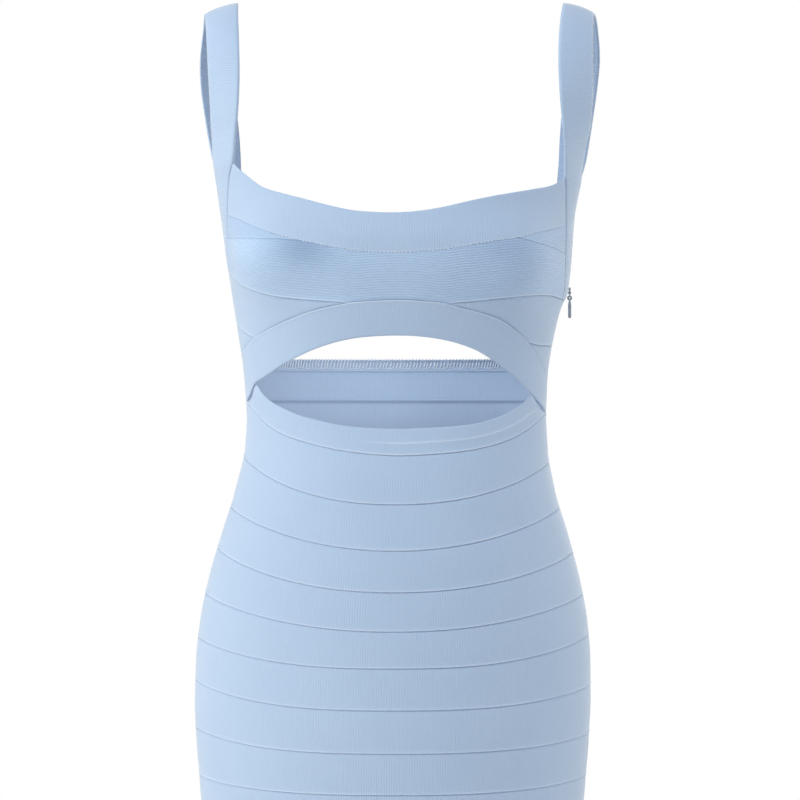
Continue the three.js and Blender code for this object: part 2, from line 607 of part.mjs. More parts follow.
for (const { name, over, under, ends, levels = fewLevels, tuck = seamTuck } of bodicePieces) {
  const geometry = panel({
    top: line(over, down),
    bottom: line(under, up),
    from: ends[0],
    to: ends[1],
    columns: frontColumns,
    levels,
    tuck,
  });
  addMesh(dress, name, geometry, knit);
}

// Straps and side backs
addMesh(dress, 'strap_left', strap(-1, strapFrontLeft, strapFreeLeft), knit);
addMesh(dress, 'strap_right', strap(1, strapFrontRight, strapFreeRight), knit);
addMesh(dress, 'back_wing_left', wing(-1, underarmLeft), knit);
addMesh(dress, 'back_wing_right', wing(1, underarmRight), knit);

// Strips of the skirt, each between two neighbouring lines
function addStrips(prefix, lines, { from, to, columns, firstTuck }) {
  lines.slice(1).forEach((under, k) => {
    const geometry = panel({
      top: lines[k](down),
      bottom: under(up),
      from,
      to,
      columns,
      levels: fewLevels,
      tuck: k === 0 ? firstTuck : seamTuck,
    });
    addMesh(dress, `${prefix}_${String(k + 1).padStart(2, '0')}`, geometry, knit);
  });
}
const skirtLines = skirtSeams.map((seam) => (shift) => skirtLine(seam, shift));
const hemLine = () => () => hemHeight;
const waistLine = (shift) => line('waistLow', shift);
addStrips('skirt_front', [waistLine, ...skirtLines, hemLine], {
  from: leftSide,
  to: rightSide,
  columns: frontColumns,
  firstTuck: seamTuck,
});
const backEdgeLine = () => () => backEdgeHeight;
const backWaistLine = (shift) => () => backWaistSeam + shift;
addStrips('back_strip', [backEdgeLine, backWaistLine, ...skirtLines, hemLine], {
  from: sideSeam(90, up),
  to: sideSeam(270, down),
  columns: backColumns,
  firstTuck: 0,
});

// Zip tape inside the side seam
const tape = panel({
  top: () => zipTop,
  bottom: () => zipEnd,
  from: sideSeam(90, -zipTapeHalfWidth),
  to: sideSeam(90, zipTapeHalfWidth),
  columns: [90],
  levels: Array.from({ length: zipTapeCells + 1 }, (_, k) => k / zipTapeCells),
  inset: zipTapeInset,
  wall: zipTapeWall,
});
addMesh(dress, 'zip_tape', tape, knit);

// Solid of a three.js geometry for joining
function solidOf(geometry) {
  const bare = geometry.index ? geometry.toNonIndexed() : geometry;
  bare.deleteAttribute('normal');
  bare.deleteAttribute('uv');
  const merged = mergeVertices(bare, 1e-4);
  return new wasm.Manifold(new wasm.Mesh({
    numProp: 3,
    vertProperties: new Float32Array(merged.attributes.position.array),
    triVerts: new Uint32Array(merged.index.array),
  }));
}

function geometryOf(solid) {
  const mesh = solid.getMesh();
  return closed(Array.from(mesh.vertProperties), Array.from(mesh.triVerts));
}

// Round bar along Y
function bar(radius, length, y = 0) {
  return solidOf(new THREE.CylinderGeometry(radius, radius, length, roundSegments).translate(0, y, 0));
}

function block(width, depth, height, y, z) {
  return solidOf(new THREE.BoxGeometry(width, depth, height).translate(0, y, z));
}

// Slider: plate on the cloth, two cheeks and the pin between them
const cheekY = cheekSpacing / 2 + cheekWall / 2;
const cheekStem = sliderDrop + sliderLength / 4;
let slider = block(sliderWall, sliderWidth, sliderLength, 0, sliderDrop + sliderLength / 2);
for (const y of [-cheekY, cheekY]) {
  slider = slider.add(bar(cheekRadius, cheekWall, y));
  slider = slider.add(block(cheekStemWidth, cheekStemWall, cheekStem, y, cheekStem / 2));
}
slider = slider.add(bar(pinRadius, cheekSpacing + cheekWall));
addMesh(dress, 'zip_slider', geometryOf(slider), metal, pin);

// Arc of the pull's outline, by its middle height, radius and two angles in degrees from +X
function arc(z, radius, from, to) {
  return Array.from({ length: arcCells + 1 }, (_, k) => {
    const angle = THREE.MathUtils.degToRad(lerp(from, to, k / arcCells));
    return new THREE.Vector2(radius * Math.cos(angle), z + radius * Math.sin(angle));
  });
}

// Angle between the Z axis and the point where a strip of the given width leaves a circle
function leave(width, radius) {
  return THREE.MathUtils.radToDeg(Math.asin(width / (2 * radius)));
}

// Pull: eye on the pin, neck, ring and tab with a round end
const half = [
  ...arc(0, eyeRadius, 90, leave(neckWidth, eyeRadius) - 90),
  ...arc(-ringDrop, ringRadius, 90 - leave(neckWidth, ringRadius), leave(tabTopWidth, ringRadius) - 90),
  new THREE.Vector2(tabWidth / 2, -tabShoulder),
  ...arc(tabWidth / 2 - tabEnd, tabWidth / 2, 0, -90),
];
const mirrored = half.slice(1, -1).reverse().map(({ x, y }) => new THREE.Vector2(-x, y));
const outline = new THREE.Shape([...half, ...mirrored]);
const holes = [arc(0, eyeHole, 0, 360), arc(-ringDrop, ringHole, 0, 360)];
outline.holes.push(...holes.map((hole) => new THREE.Path(hole.slice(1))));
const pull = new THREE.ExtrudeGeometry(outline, { depth: pullWall, bevelEnabled: false });
pull.translate(0, 0, -pullWall / 2).rotateX(Math.PI / 2);
addMesh(dress, 'zip_pull', geometryOf(solidOf(pull)), metal, pin);

export default dress;
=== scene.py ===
# %% [markdown]
# # A bodycon dress of banded knit
# The dress is made of narrow knitted strips, joined edge to edge, which a stretch yarn pulls
# tight round the wearer. In this lesson each strip is laid on one smooth hollow form, and then
# gets its thickness, its rolled edges and its ribs. The hard form comes from the frame, so the
# first step loads it.

import math
from collections import namedtuple

import bmesh
import bpy
import numpy as np
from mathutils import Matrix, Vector


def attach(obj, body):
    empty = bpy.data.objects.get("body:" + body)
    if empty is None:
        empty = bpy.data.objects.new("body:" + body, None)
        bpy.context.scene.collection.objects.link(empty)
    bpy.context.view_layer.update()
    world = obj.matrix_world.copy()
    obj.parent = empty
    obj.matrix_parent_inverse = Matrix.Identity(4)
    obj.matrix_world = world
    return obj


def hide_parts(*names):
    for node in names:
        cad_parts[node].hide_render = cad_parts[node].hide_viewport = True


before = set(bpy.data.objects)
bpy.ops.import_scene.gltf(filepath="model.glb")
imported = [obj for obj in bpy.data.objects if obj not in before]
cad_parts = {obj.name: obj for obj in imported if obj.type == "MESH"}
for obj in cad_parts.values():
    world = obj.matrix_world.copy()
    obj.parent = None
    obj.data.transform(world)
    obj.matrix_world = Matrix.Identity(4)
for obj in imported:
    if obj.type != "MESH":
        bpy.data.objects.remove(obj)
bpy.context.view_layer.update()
MM = 0.001

# %% [markdown]
# ## The form that the dress keeps
# A dress of this knit has no shape of its own until it is worn. Here it keeps the hollow shape of
# a general figure. The form could be sculpted, but a table of level rings is exact and easy to
# change: each ring gives the half sides, the depth in front and behind, and how full its corners
# are. All lengths in the tables are millimetres, and angles run from the centre front (0) to the
# wearer's left side seam (90) and round the back (180).

# %% Rings of the form
# Columns: z, left, right, front, back, fullness
RINGS = np.array([
    (-132.2, -160.7, 158.6, 84, 98, 2.25), (-145, -157.6, 155.4, 85, 100, 2.25),
    (-157.8, -155, 152.2, 87, 101, 2.25), (-170.5, -153.1, 149.3, 89, 102, 2.25),
    (-183.2, -151, 147.6, 93, 102, 2.25), (-196, -149.3, 146.7, 97, 101, 2.25),
    (-208.8, -147.7, 145.9, 98, 99, 2.25), (-221.5, -145.8, 144.8, 96, 96, 2.25),
    (-234.2, -143.7, 143.3, 92, 93, 2.25), (-243.6, -142.3, 141.9, 88.5, 90.5, 2.2),
    (-250.4, -141.3, 138.2, 86, 89, 2.2), (-259.8, -139.7, 134.9, 83, 86.5, 2.2),
    (-272.5, -137.9, 131.9, 79.5, 83.5, 2.2), (-285.2, -135.9, 129.2, 76.5, 81, 2.2),
    (-298, -133.9, 127, 74.5, 79, 2.2), (-310.8, -132.3, 125.5, 73, 77.5, 2.2),
    (-323.5, -131.3, 124.7, 72, 77, 2.2), (-349, -130, 124.1, 72.5, 79, 2.2),
    (-374.5, -131.8, 125.5, 76, 85, 2.15), (-387.2, -134.2, 127.2, 78.5, 88.5, 2.15),
    (-412.8, -141, 132.5, 83.5, 96, 2.15), (-438.2, -149, 140.3, 88, 104, 2.1),
    (-463.8, -157, 147.6, 92, 111.5, 2.1), (-489.2, -163.8, 153.8, 95, 118, 2.1),
    (-514.8, -168.9, 158.4, 97.5, 122.5, 2.1), (-540.2, -172.2, 161, 99, 125, 2.1),
    (-578.5, -173.9, 161.8, 100, 123.5, 2.1), (-604, -173.7, 161, 99.5, 120, 2.1),
    (-629.5, -171.9, 159.5, 98.5, 116, 2.1), (-680.5, -167.8, 155, 96.5, 108.5, 2.1),
    (-723, -163.9, 150.1, 95, 104, 2.1), (-774, -158.8, 144.5, 93, 99, 2.1),
    (-825, -153.6, 138.9, 91, 95, 2.1), (-888.8, -147.2, 132.1, 88, 91, 2.1),
])
print("rings:", len(RINGS), "from", RINGS[0, 0], "to", RINGS[-1, 0], "mm")

# %% A smooth curve through a table
def smooth(xs, ys, x):
    """Rounded curve through the points, with the ends held level."""
    if xs[0] > xs[-1]:
        xs, ys = xs[::-1], ys[::-1]
    x = np.clip(np.asarray(x, float), xs[0], xs[-1])
    k = np.clip(np.searchsorted(xs, x) - 1, 0, len(xs) - 2)
    slope = np.gradient(ys)
    slope[1:-1] = (ys[2:] - ys[:-2]) / (xs[2:] - xs[:-2])
    slope[0] = (ys[1] - ys[0]) / (xs[1] - xs[0])
    slope[-1] = (ys[-1] - ys[-2]) / (xs[-1] - xs[-2])
    span = xs[k + 1] - xs[k]
    t = (x - xs[k]) / span
    t2, t3 = t * t, t * t * t
    return (
        ys[k] * (2 * t3 - 3 * t2 + 1) + slope[k] * span * (t3 - 2 * t2 + t)
        + ys[k + 1] * (3 * t2 - 2 * t3) + slope[k + 1] * span * (t3 - t2)
    )


print("front depth at the waist:", round(float(smooth(RINGS[:, 0], RINGS[:, 3], -350)), 1), "mm")

# %% [markdown]
# ## Bust, seat and creases
# The strips pull flat across hollows and fill out over the bust. On top of the rings, a few soft
# hills and troughs are added: their places are uneven, and the hidden back gets the same kind as
# the front. A displacement texture would do it too, but named hills can be put where they belong.

# %% Soft hills and troughs
# Columns: angle, z, half width in degrees, half height in mm, lift in mm, tilt in mm a degree
HILLS = np.array([
    (-50, -218, 15, 30, 11, 0), (43, -220, 14, 30, 11, 0), (-4, -222, 16, 34, -3, 0),
    (-40, -192, 13, 18, 2.4, 0), (37, -192, 16, 18, 2.4, 0),
    (-30, -400, 26, 16, 0.9, 0.25), (24, -430, 30, 13, -0.7, -0.2), (-8, -470, 34, 20, 0.8, 0.1),
    (40, -520, 22, 14, -0.6, 0.3), (-46, -560, 20, 16, -0.6, -0.25), (6, -610, 40, 22, 0.6, 0),
    (-22, -700, 30, 26, -0.6, 0.1), (34, -760, 26, 24, 0.6, -0.2), (-60, -840, 22, 26, 0.5, 0),
    (180, -400, 34, 18, -0.8, 0.1), (150, -455, 26, 16, 0.8, -0.3), (206, -500, 28, 16, -0.7, 0.2),
    (170, -620, 34, 24, 0.7, 0.1), (214, -700, 26, 22, -0.6, -0.1), (140, -770, 26, 24, 0.6, 0.2)
])


def bell(distance, reach):
    """1 at no distance, about a third at the reach, and nothing well beyond it."""
    return np.exp(-((distance / reach) ** 2))


def relief(around, z):
    """How far the cloth stands off the plain form, in mm."""
    lift = np.zeros(np.broadcast(around, z).shape)
    for angle, height, wide, tall, amount, tilt in HILLS:
        turn = (around - angle + 180) % 360 - 180
        rise = z - height - tilt * turn
        lift += amount * bell(turn, wide) * bell(rise, tall)
    return lift


print("lift over the left of the bust:", round(float(relief(-50, -218)), 1), "mm")

# %% Points and outward directions on the form
def plain_form(around, z):
    """Point on the form of the rings alone, in mm, at an angle in degrees and a height."""
    angle = np.radians(around)
    s, c = np.sin(angle), np.cos(angle)
    left, right, front, back, full = (smooth(RINGS[:, 0], RINGS[:, k], z) for k in range(1, 6))
    q = (np.abs(s) ** full + np.abs(c) ** full) ** (-1 / full)
    depth = np.where(c >= 0, front, back)
    x = (left + right) / 2 + (right - left) / 2 * q * s
    return np.stack(np.broadcast_arrays(x, -depth * q * c, z), axis=-1)


def unit(v):
    return v / np.maximum(np.linalg.norm(v, axis=-1, keepdims=True), 1e-9)


def outward(around, z):
    turn = plain_form(around + 0.5, z) - plain_form(around - 0.5, z)
    rise = plain_form(around, z + 1) - plain_form(around, z - 1)
    return unit(np.cross(turn, rise))


def form(around, z, lift=0):
    """Point on the form, moved level by the relief and raised off it by lift mm."""
    around, z = np.broadcast_arrays(np.asarray(around, float), np.asarray(z, float))
    out = outward(around, z)
    level = unit(out * (1, 1, 0))
    return plain_form(around, z) + level * relief(around, z)[..., None] + out * (lift + 0 * z)[..., None]


print("hip at the right side:", np.round(form(90, -560), 1))

# %% [markdown]
# ## Seam lines
# Every strip lies between two seam lines. On the bodice the lines are traced in a table of
# heights at each angle, because they sweep up and down across the bust and round the cutout. On
# the skirt they only dip towards the centre front, so three heights and a bend describe each.

# %% Seam lines of the bodice
# Columns: angle, then the height of each line, in the order that LINES gives
BODICE = np.array([
    (-90, -119.5, -173.1, -194.3, -221.5, -264, -293.5, -333.2, -333.2, -335.6),
    (-84, -120.1, -173.5, -194.8, -221.9, -266, -293.4, -333.1, -333.1, -335.6),
    (-78, -120.7, -174.1, -195.2, -222.6, -268.7, -290.9, -331.9, -331.9, -335.7),
    (-71.5, -122.1, -175.6, -195.7, -226.3, -272.9, -287.8, -327.9, -327.9, -336.6),
    (-65.2, -126.3, -177.7, -196.2, -231.4, -276.9, -283.9, -318.7, -318.7, -342),
    (-59, -131.8, -180.5, -196.7, -236.3, -278.8, -278.8, -314.4, -326.6, -349.1),
    (-52.5, -142.6, -184.7, -197.2, -240.8, -274.8, -274.8, -309.7, -333.5, -355.2),
    (-45, -154.3, -190.7, -198.1, -245.3, -269.5, -269.5, -302.8, -339.5, -361.2),
    (-37.5, -160, -196.5, -198.9, -247.7, -263.7, -263.7, -296.4, -344.9, -365.7),
    (-30, -164.9, -201.1, -201.1, -249.2, -258.3, -258.3, -290, -348.6, -369.6),
    (-22.5, -170.2, -205, -205, -250.6, -254.4, -254.4, -284.8, -352.1, -373),
    (-15, -174.6, -208.3, -208.3, -251.3, -251.3, -251.3, -281.2, -354.2, -375.4),
    (-7.5, -176.5, -209.9, -209.9, -250, -250, -250, -279.5, -355.4, -377.1),
    (0, -176.8, -210.3, -210.3, -249.4, -249.4, -249.4, -278.9, -355.8, -378),
    (7.5, -175.3, -209.4, -209.4, -250.2, -250.2, -250.2, -279.5, -355.4, -377.7),
    (15, -171.8, -207.5, -207.5, -251.9, -251.9, -251.9, -281.6, -354.6, -376.6),
    (22.5, -167, -204.4, -204.4, -251, -256, -256, -285.4, -353.4, -375.2),
    (30, -162.8, -201, -201, -249.1, -260.1, -260.1, -291.3, -351.6, -373),
    (38, -159.1, -197.8, -197.8, -247, -265.7, -265.7, -300.4, -347.6, -369.4),
    (45, -156.2, -193.9, -201.2, -245.4, -273.4, -273.4, -308.9, -342.8, -365.4),
    (53, -152.7, -190.3, -204.2, -244.6, -282.7, -282.7, -318.7, -335.6, -359.6),
    (60.8, -145.4, -187.4, -206.8, -244.8, -285.7, -293.7, -327.7, -327.7, -353.7),
    (66, -140.5, -186, -208.2, -245.7, -285.9, -300.8, -333.3, -333.3, -349.3),
    (71, -136.7, -184.8, -208.9, -246.6, -286.1, -306.2, -337.4, -337.4, -346),
    (76, -136.2, -183.9, -209.2, -247.1, -286.2, -309.9, -340.2, -340.2, -344.4),
    (81, -135.7, -183.2, -209.2, -247.1, -286.3, -312.3, -341.8, -341.8, -344.4),
    (85.5, -135.2, -182.8, -209, -247, -286.3, -313.2, -342.2, -342.2, -344.6),
    (90, -134.8, -182.4, -208.7, -246.8, -286.3, -313.2, -342.3, -342.3, -344.7),
])
LINES = "neckline neck_low bust_top bust_low side_low arch_top arch_low waist_top waist_low".split()


def bodice_line(column):
    return lambda around: smooth(BODICE[:, 0], BODICE[:, column], around)


line = {name: bodice_line(column) for column, name in enumerate(LINES, 1)}
print("at the centre front, mm:", {name: float(line[name](0)) for name in LINES})

# %% Seam lines of the skirt
# Columns: height in front, at the left and at the right side, and how late the line bends
SKIRT_SEAMS = np.array([
    (-418.4, -379, -383.4, 2.25), (-456.4, -421.6, -422, 2.05),
    (-490.5, -456.4, -460, 2.2), (-522.7, -495, -495.6, 2.2),
    (-553, -531.6, -529.4, 2.8), (-587.4, -567.6, -571.6, 3),
    (-623, -608, -612.6, 3.2), (-657.2, -648.4, -648.4, 3.2),
    (-692.5, -686, -686, 3), (-727.5, -722.5, -722.5, 3),
    (-762.5, -758.5, -758.5, 3), (-797, -794, -794, 3),
    (-831, -829, -829, 3),
])
# Heights of the hem, of the back's upper edge and of the seam under it
HEM = -889
BACK_EDGE = -297
BACK_WAIST = -333


def skirt_line(row):
    """A seam that dips in front, and runs straight from side to side round the back."""
    front, left, right, bend = row

    def height(around):
        behind = right + (left - right) * (around - 90) / 180
        side = np.where(around < 0, left, right)
        ahead = front + (side - front) * np.abs(np.sin(np.radians(around))) ** bend
        return np.where(around > 90, behind, ahead)

    return height


def level_line(z):
    return lambda around: np.full(np.shape(around), float(z))


print("first skirt seam in front and at the back:", skirt_line(SKIRT_SEAMS[0])(np.array([0, 180])))

# %% Edges of the straps
# Columns: height, then the angle of the seam and of the armhole
STRAP_FRONT_LEFT = np.array([
    (-133.7, -57.7, -78), (-138.2, -59.5, -79.3), (-142.6, -61.1, -80.5),
    (-150, -63.3, -82.3), (-157.4, -65.2, -84), (-164.5, -66.7, -85.8),
    (-171.5, -68, -87.5), (-185.6, -71, -90), (-199.8, -73.9, -90),
    (-210, -75.7, -90), (-226, -78.4, -90),
])
STRAP_FRONT_RIGHT = np.array([
    (-146, 60.2, 80.5), (-154, 62.1, 82.8), (-161.8, 63.8, 85),
    (-172.5, 66.1, 88), (-183.3, 67.8, 90), (-195.5, 68.6, 90),
    (-207.7, 69.1, 90), (-217, 69.7, 90), (-226.5, 70.7, 90),
    (-236, 72.2, 90), (-241, 73.1, 90), (-250, 74.8, 90),
])
# Columns: height, then the angle of the inner and of the outer edge
STRAP_BACK = np.array([
    (-170.5, 119.2, 103), (-187, 122, 105.5), (-204.5, 124.8, 108),
    (-225, 127.6, 110.4), (-247, 130, 112.8), (-272, 132.2, 115),
    (-297, 134, 116.8),
])
# Columns: x, y and z of the edge by the neck, then of the edge by the arm
STRAP_FREE_LEFT = np.array([
    (-138, -47, -108, -159.6, -24, -108),
    (-135.7, -49, -85, -160.3, -30, -86),
    (-134.6, -46, -58, -161.6, -33, -60),
    (-135.2, -38, -31, -162.8, -30, -36),
    (-136.6, -22, -8, -164.4, -19, -15.5),
    (-137.7, 1, 5.9, -166.6, 1, -4),
    (-139.5, 24, -4, -168.6, 21, -13),
    (-142.6, 43, -33, -172.3, 37, -39),
    (-143, 54, -60, -172.2, 46, -62),
    (-141, 60, -86, -169, 49, -87),
    (-139.3, 62, -108, -165.6, 47, -108),
    (-138.4, 59, -131, -160.6, 40, -131),
])
STRAP_FREE_RIGHT = np.array([
    (138.6, -46, -122, 156.6, -20.5, -122),
    (136.2, -48, -98, 161.2, -28, -99),
    (133.8, -48, -72, 162.8, -33, -73),
    (132.8, -41, -42, 162.6, -32, -45),
    (135.2, -24, -11, 163.4, -20, -18),
    (139.2, 1, 5.9, 165.6, 1, -3),
    (141, 24, -5, 169.4, 21, -12),
    (141.5, 43, -34, 172.2, 37, -38),
    (141, 54, -60, 170.8, 46, -61),
    (140.2, 60, -84, 167.6, 48, -85),
    (139, 62, -106, 164.4, 46, -106),
    (138, 59, -130, 159.8, 39, -130),
])
print("tops of the straps:", STRAP_FREE_LEFT[:, 2].max(), "and", STRAP_FREE_RIGHT[:, 2].max(), "mm")

# %% Ends of a strip
# Half the gap between two edges that meet, and how far an end runs under its neighbour, in mm
HALF_GAP = 0.15
END_LAP = 1.0


def mm_per_degree(around, z):
    step = plain_form(around + 0.5, z) - plain_form(around - 0.5, z)
    return np.linalg.norm(step, axis=-1)


def strap_seam(table, shift):
    """Seam between a strap and the bodice, moved round the form by shift mm."""
    return lambda z: smooth(table[:, 0], table[:, 1], z) + shift / mm_per_degree(0, z)


def side_seam(angle, shift):
    """Straight seam at an angle, moved round the form by shift mm."""
    return lambda z: angle + shift / mm_per_degree(angle, z)


def tip(angle):
    """End of a strip that runs out to a point."""
    return lambda z: np.full(np.shape(z), float(angle))


print("one degree at the hip:", round(float(mm_per_degree(0, -560)), 2), "mm")

# %% [markdown]
# ## One strip of cloth
# A strip is a thin sheet. It is tucked a little under its upper neighbour, and its own lower edge
# lies on top and rolls, which draws the fine line at each seam, with a highlight and a shade painted
# along it. So the sheet is a grid of points on the form, close together near the edges, and the
# Solidify modifier gives it its thickness. The map that the ribs follow is worked out in
# millimetres at the same time.

# %% Where the grid lines go
CLOTH = 1.3
# Distances from an edge at which the grid has its closest lines, in mm
NEAR_EDGE = np.array([0, 0.5, 1.1, 1.9, 3.0, 4.6])


def spread(length, step):
    """Shares from 0 to 1, crowded near both ends, for an edge of length mm."""
    near = NEAR_EDGE[NEAR_EDGE < length * 0.3] / length
    middle = np.linspace(near[-1], 1 - near[-1], max(int(length / step), 2) + 1)
    return np.concatenate([near[:-1], middle, 1 - near[-2::-1]] if len(near) > 1 else [middle])


def distances(points, axis=0):
    """Distance in mm of each point from the first one, along a line or one axis of a grid."""
    steps = np.linalg.norm(np.diff(points, axis=axis), axis=-1)
    return np.insert(np.cumsum(steps, axis=axis), 0, 0, axis=axis)


print("grid shares over a 34 mm strip:", np.round(spread(34, 6), 2))

# %% How an edge sits
# lift is how far the edge stands off the form, reach is how far in that fades, and lap is how far
# the edge runs under its neighbour, all in mm
Edge = namedtuple("Edge", "lift reach lap")
TUCKED = Edge(-0.95, 0.65, 1.6)
SHALLOW = Edge(-0.35, 0.5, 1.6)
BELOW = Edge(-0.65, 0.6, 1.6)
ROLLED = Edge(0.4, 1.3, 0)
FLAT = Edge(0.12, 1.3, 0)
FREE = Edge(-0.45, 0.8, 0)
SIDE = Edge(-0.55, 1.0, 0)
HIDDEN = Edge(-0.95, 1.3, 0)
NO_EDGE = Edge(0, 1, 0)


def edge_lift(edge, distance):
    """Full at the edge and beyond it, and fading towards the middle of the strip."""
    return edge.lift * bell(np.maximum(distance, 0), edge.reach)


print("lift 1 mm in from a rolled edge:", round(float(edge_lift(ROLLED, 1)), 2), "mm")

# %% How a seam's line shows: painted highlight and painted shade
# Tables of angles and the share that shows there: of the shade painted beside the arch, then of
# the shade painted along a strip's top
LINE_REACH = 0.9
ARCH_SEAM_SHADE = ([-55, -34, 44, 60], [0.3, 0.8, 1, 0.3])
FULL_SEAM_SHADE = ([0], [1])
FAINT_SEAM_SHADE = ([0], [0.25])
STITCHED_SEAM_SHADE = ([-37, -32, 36, 41], [1, 0.2, 0.2, 1])
QUIET_SEAM_SHADE = 0.2
# Of the skirt's lines: two slow waves by degree and by mm, the share that stays and the share that
# comes and goes with them, then the degrees over which a side fades a line, and what it leaves
WAVES = ((0.11, 0.3), (0.043, -0.07))
STEADY, CHANGING = 0.72, 0.28
SIDE_FADE, LEFT_AT_SIDE = 24, 0.3


def faintness(around, z):
    """Share of a skirt seam's line that shows: it comes and goes, and is faint near the sides."""
    from_side = 90 - np.abs((around + 90) % 180 - 90)
    slow, slower = (np.sin(by_degree * around + by_mm * z) for by_degree, by_mm in WAVES)
    return (STEADY + CHANGING * (slow * slower)) * np.clip(from_side / SIDE_FADE, LEFT_AT_SIDE, 1)


def seam_painted_light(around, z, seam, rim, beneath, narrow, edges, join, quiet):
    """Above 0 where a rolled edge gets a painted highlight, below 0 where a seam gets painted shade."""
    at_seam, at_rim = bell(seam - z, LINE_REACH), bell(z - rim, LINE_REACH)
    painted_highlight = (1 - beneath) * max(edges[1].lift / ROLLED.lift, 0) * at_rim
    painted_highlight += max(edges[0].lift / ROLLED.lift, 0) * at_seam
    dark = beneath * narrow * at_rim * np.interp(around, *ARCH_SEAM_SHADE)
    if edges[0].lap:
        depth = math.sqrt(edges[0].lift / TUCKED.lift)
        dark += depth * narrow * at_seam * np.interp(around, *join)
    if quiet:
        return (painted_highlight - QUIET_SEAM_SHADE * dark) * faintness(around, z)
    return painted_highlight - dark


print("share of a line that shows in front:", round(float(faintness(0, -500)), 2))

# %% Rows and columns of one strip
ROW_STEP, COLUMN_STEP = 4.5, 3.4
# Height in mm that a strip keeps where its lines meet, and the rows round a fold
LEAST_HEIGHT = 0.1
FOLD_ROWS = np.array([-2, -1, -0.4, 0, 0.4, 1])
END_ROUNDS = 14


def strip_shares(top, bottom, ends, fold):
    """Shares along a strip and down it at which the grid has points."""
    middle = (top(ends.mean()) + bottom(ends.mean())) / 2
    wide = abs(ends[1] - ends[0]) * float(mm_per_degree(ends.mean(), middle))
    sweep = np.linspace(*ends, 9)
    tall = max(float(np.max(top(sweep) - bottom(sweep))), 3)
    along, down = spread(wide, COLUMN_STEP), spread(tall, ROW_STEP)
    if fold:
        down = np.unique(np.concatenate([down, fold[0] + FOLD_ROWS / tall]))
    return along, down


def strip_end(top, bottom, end, angle, down):
    """Angle of a strip's end in each row. Angle and height hang together, so it is closed in on."""
    angle = np.full(down.shape, angle)
    for _ in range(END_ROUNDS):
        z = top(angle) + (np.minimum(bottom(angle), top(angle) - LEAST_HEIGHT) - top(angle)) * down
        angle = end(z)
    return angle


print("left end of the waist band, degrees:", strip_end(
    line["waist_top"], line["waist_low"], side_seam(-90, HALF_GAP), -90, np.array([0, 1])).round(2))

# %% Grid of one strip
# How far a strip's middle stands off, and how tall a strip has to be to lap in full, in mm
CROWN = 0.25
FULL_LAP_HEIGHT = 6
# Height at which the ends of a strip are first guessed
GUESS_HEIGHT = np.array(-300.0)
NOT_UNDER = ([0], [0])
# Of a fold: degrees over which it fades at its two ends, then lift and painted highlight, each with reach
FOLD_FADE = (12, 8)
FOLD_LIFT, FOLD_HIGHLIGHT = (0.35, 0.9), (0.8, 0.6)


def strip_grid(top, bottom, start, stop, edges, crown=CROWN, extra=None, under=NOT_UNDER, fold=None,
               opened=None, join=FULL_SEAM_SHADE, quiet=False):
    """Points of a strip on the form, its rib map's distances in mm, and its painted light and shade.

    edges are the upper, lower, first and last one. crown is how far the middle stands off, and
    extra is a further lift worked out at each point.
    under is a table of angles and shares: where the lower edge runs under its neighbour.
    fold is (share of the height, first angle, last angle) of one sharp fold along the strip.
    opened gives painted shade to add at each point. join is how much of the painted shade along the top
    shows at each angle, and quiet seams show less all along.
    """
    ends = np.array([float(end(GUESS_HEIGHT)) for end in (start, stop)])
    along, down = strip_shares(top, bottom, ends, fold)
    first, last = (strip_end(top, bottom, end, angle, down) for end, angle in zip((start, stop), ends))
    around = first[:, None] + (last - first)[:, None] * along[None, :]
    seam = top(around)
    narrow = np.clip((seam - bottom(around)) / FULL_LAP_HEIGHT, 0, 1)
    beneath = np.interp(around, *under)
    upper = seam + (edges[0].lap * narrow if edges[0].lap else -HALF_GAP)
    rim = np.minimum(bottom(around) + HALF_GAP, seam - LEAST_HEIGHT)
    lower = rim - TUCKED.lap * beneath * narrow
    z = upper + (lower - upper) * down[:, None]
    run = distances(plain_form(around, z), axis=1)
    lift = crown * np.sin(np.pi * down)[:, None] * np.ones_like(run)
    lift += edge_lift(edges[0], seam - z)
    lift += edge_lift(edges[1], z - rim) * (1 - beneath) + edge_lift(BELOW, z - rim) * beneath
    lift += edge_lift(edges[2], run) + edge_lift(edges[3], run[:, -1:] - run)
    if extra:
        lift += extra(around, z, upper, lower)
    # Painted light and shade: a highlight on rolled edges and a fold, shade by seams and patches
    painted_light_and_shade = seam_painted_light(around, z, seam, rim, beneath, narrow, edges, join, quiet)
    if opened:
        painted_light_and_shade -= opened(around, z)
    if fold:
        share, left, right = fold
        near = (np.clip((around - left) / FOLD_FADE[0], 0, 1)
                * np.clip((right - around) / FOLD_FADE[1], 0, 1))
        off = (z - upper) + share * (upper - lower)
        lift += FOLD_LIFT[0] * near * bell(off, FOLD_LIFT[1])
        painted_light_and_shade += FOLD_HIGHLIGHT[0] * near * bell(off, FOLD_HIGHLIGHT[1])
    sweep = np.linspace(-100, 280, 761)
    girth = distances(plain_form(sweep, np.full(sweep.shape, float(np.mean(z)))))
    return form(around, z, lift), np.interp(around, sweep, girth), upper - z, z - lower, painted_light_and_shade


print("grid of the middle of the waist band:", strip_grid(
    line["waist_top"], line["waist_low"], tip(-60), tip(60), (FREE, ROLLED, NO_EDGE, NO_EDGE))[0].shape)

# %% Mesh of a grid
def mesh_of(name, points, faces):
    """A smooth mesh of points in mm."""
    mesh = bpy.data.meshes.new(name)
    mesh.from_pydata((points * MM).tolist(), [], faces)
    mesh.polygons.foreach_set("use_smooth", [True] * len(mesh.polygons))
    return mesh


def placed(name, data):
    """A new object in the scene for a mesh, a lamp or a camera."""
    made = bpy.data.objects.new(name, data)
    bpy.context.scene.collection.objects.link(made)
    return made


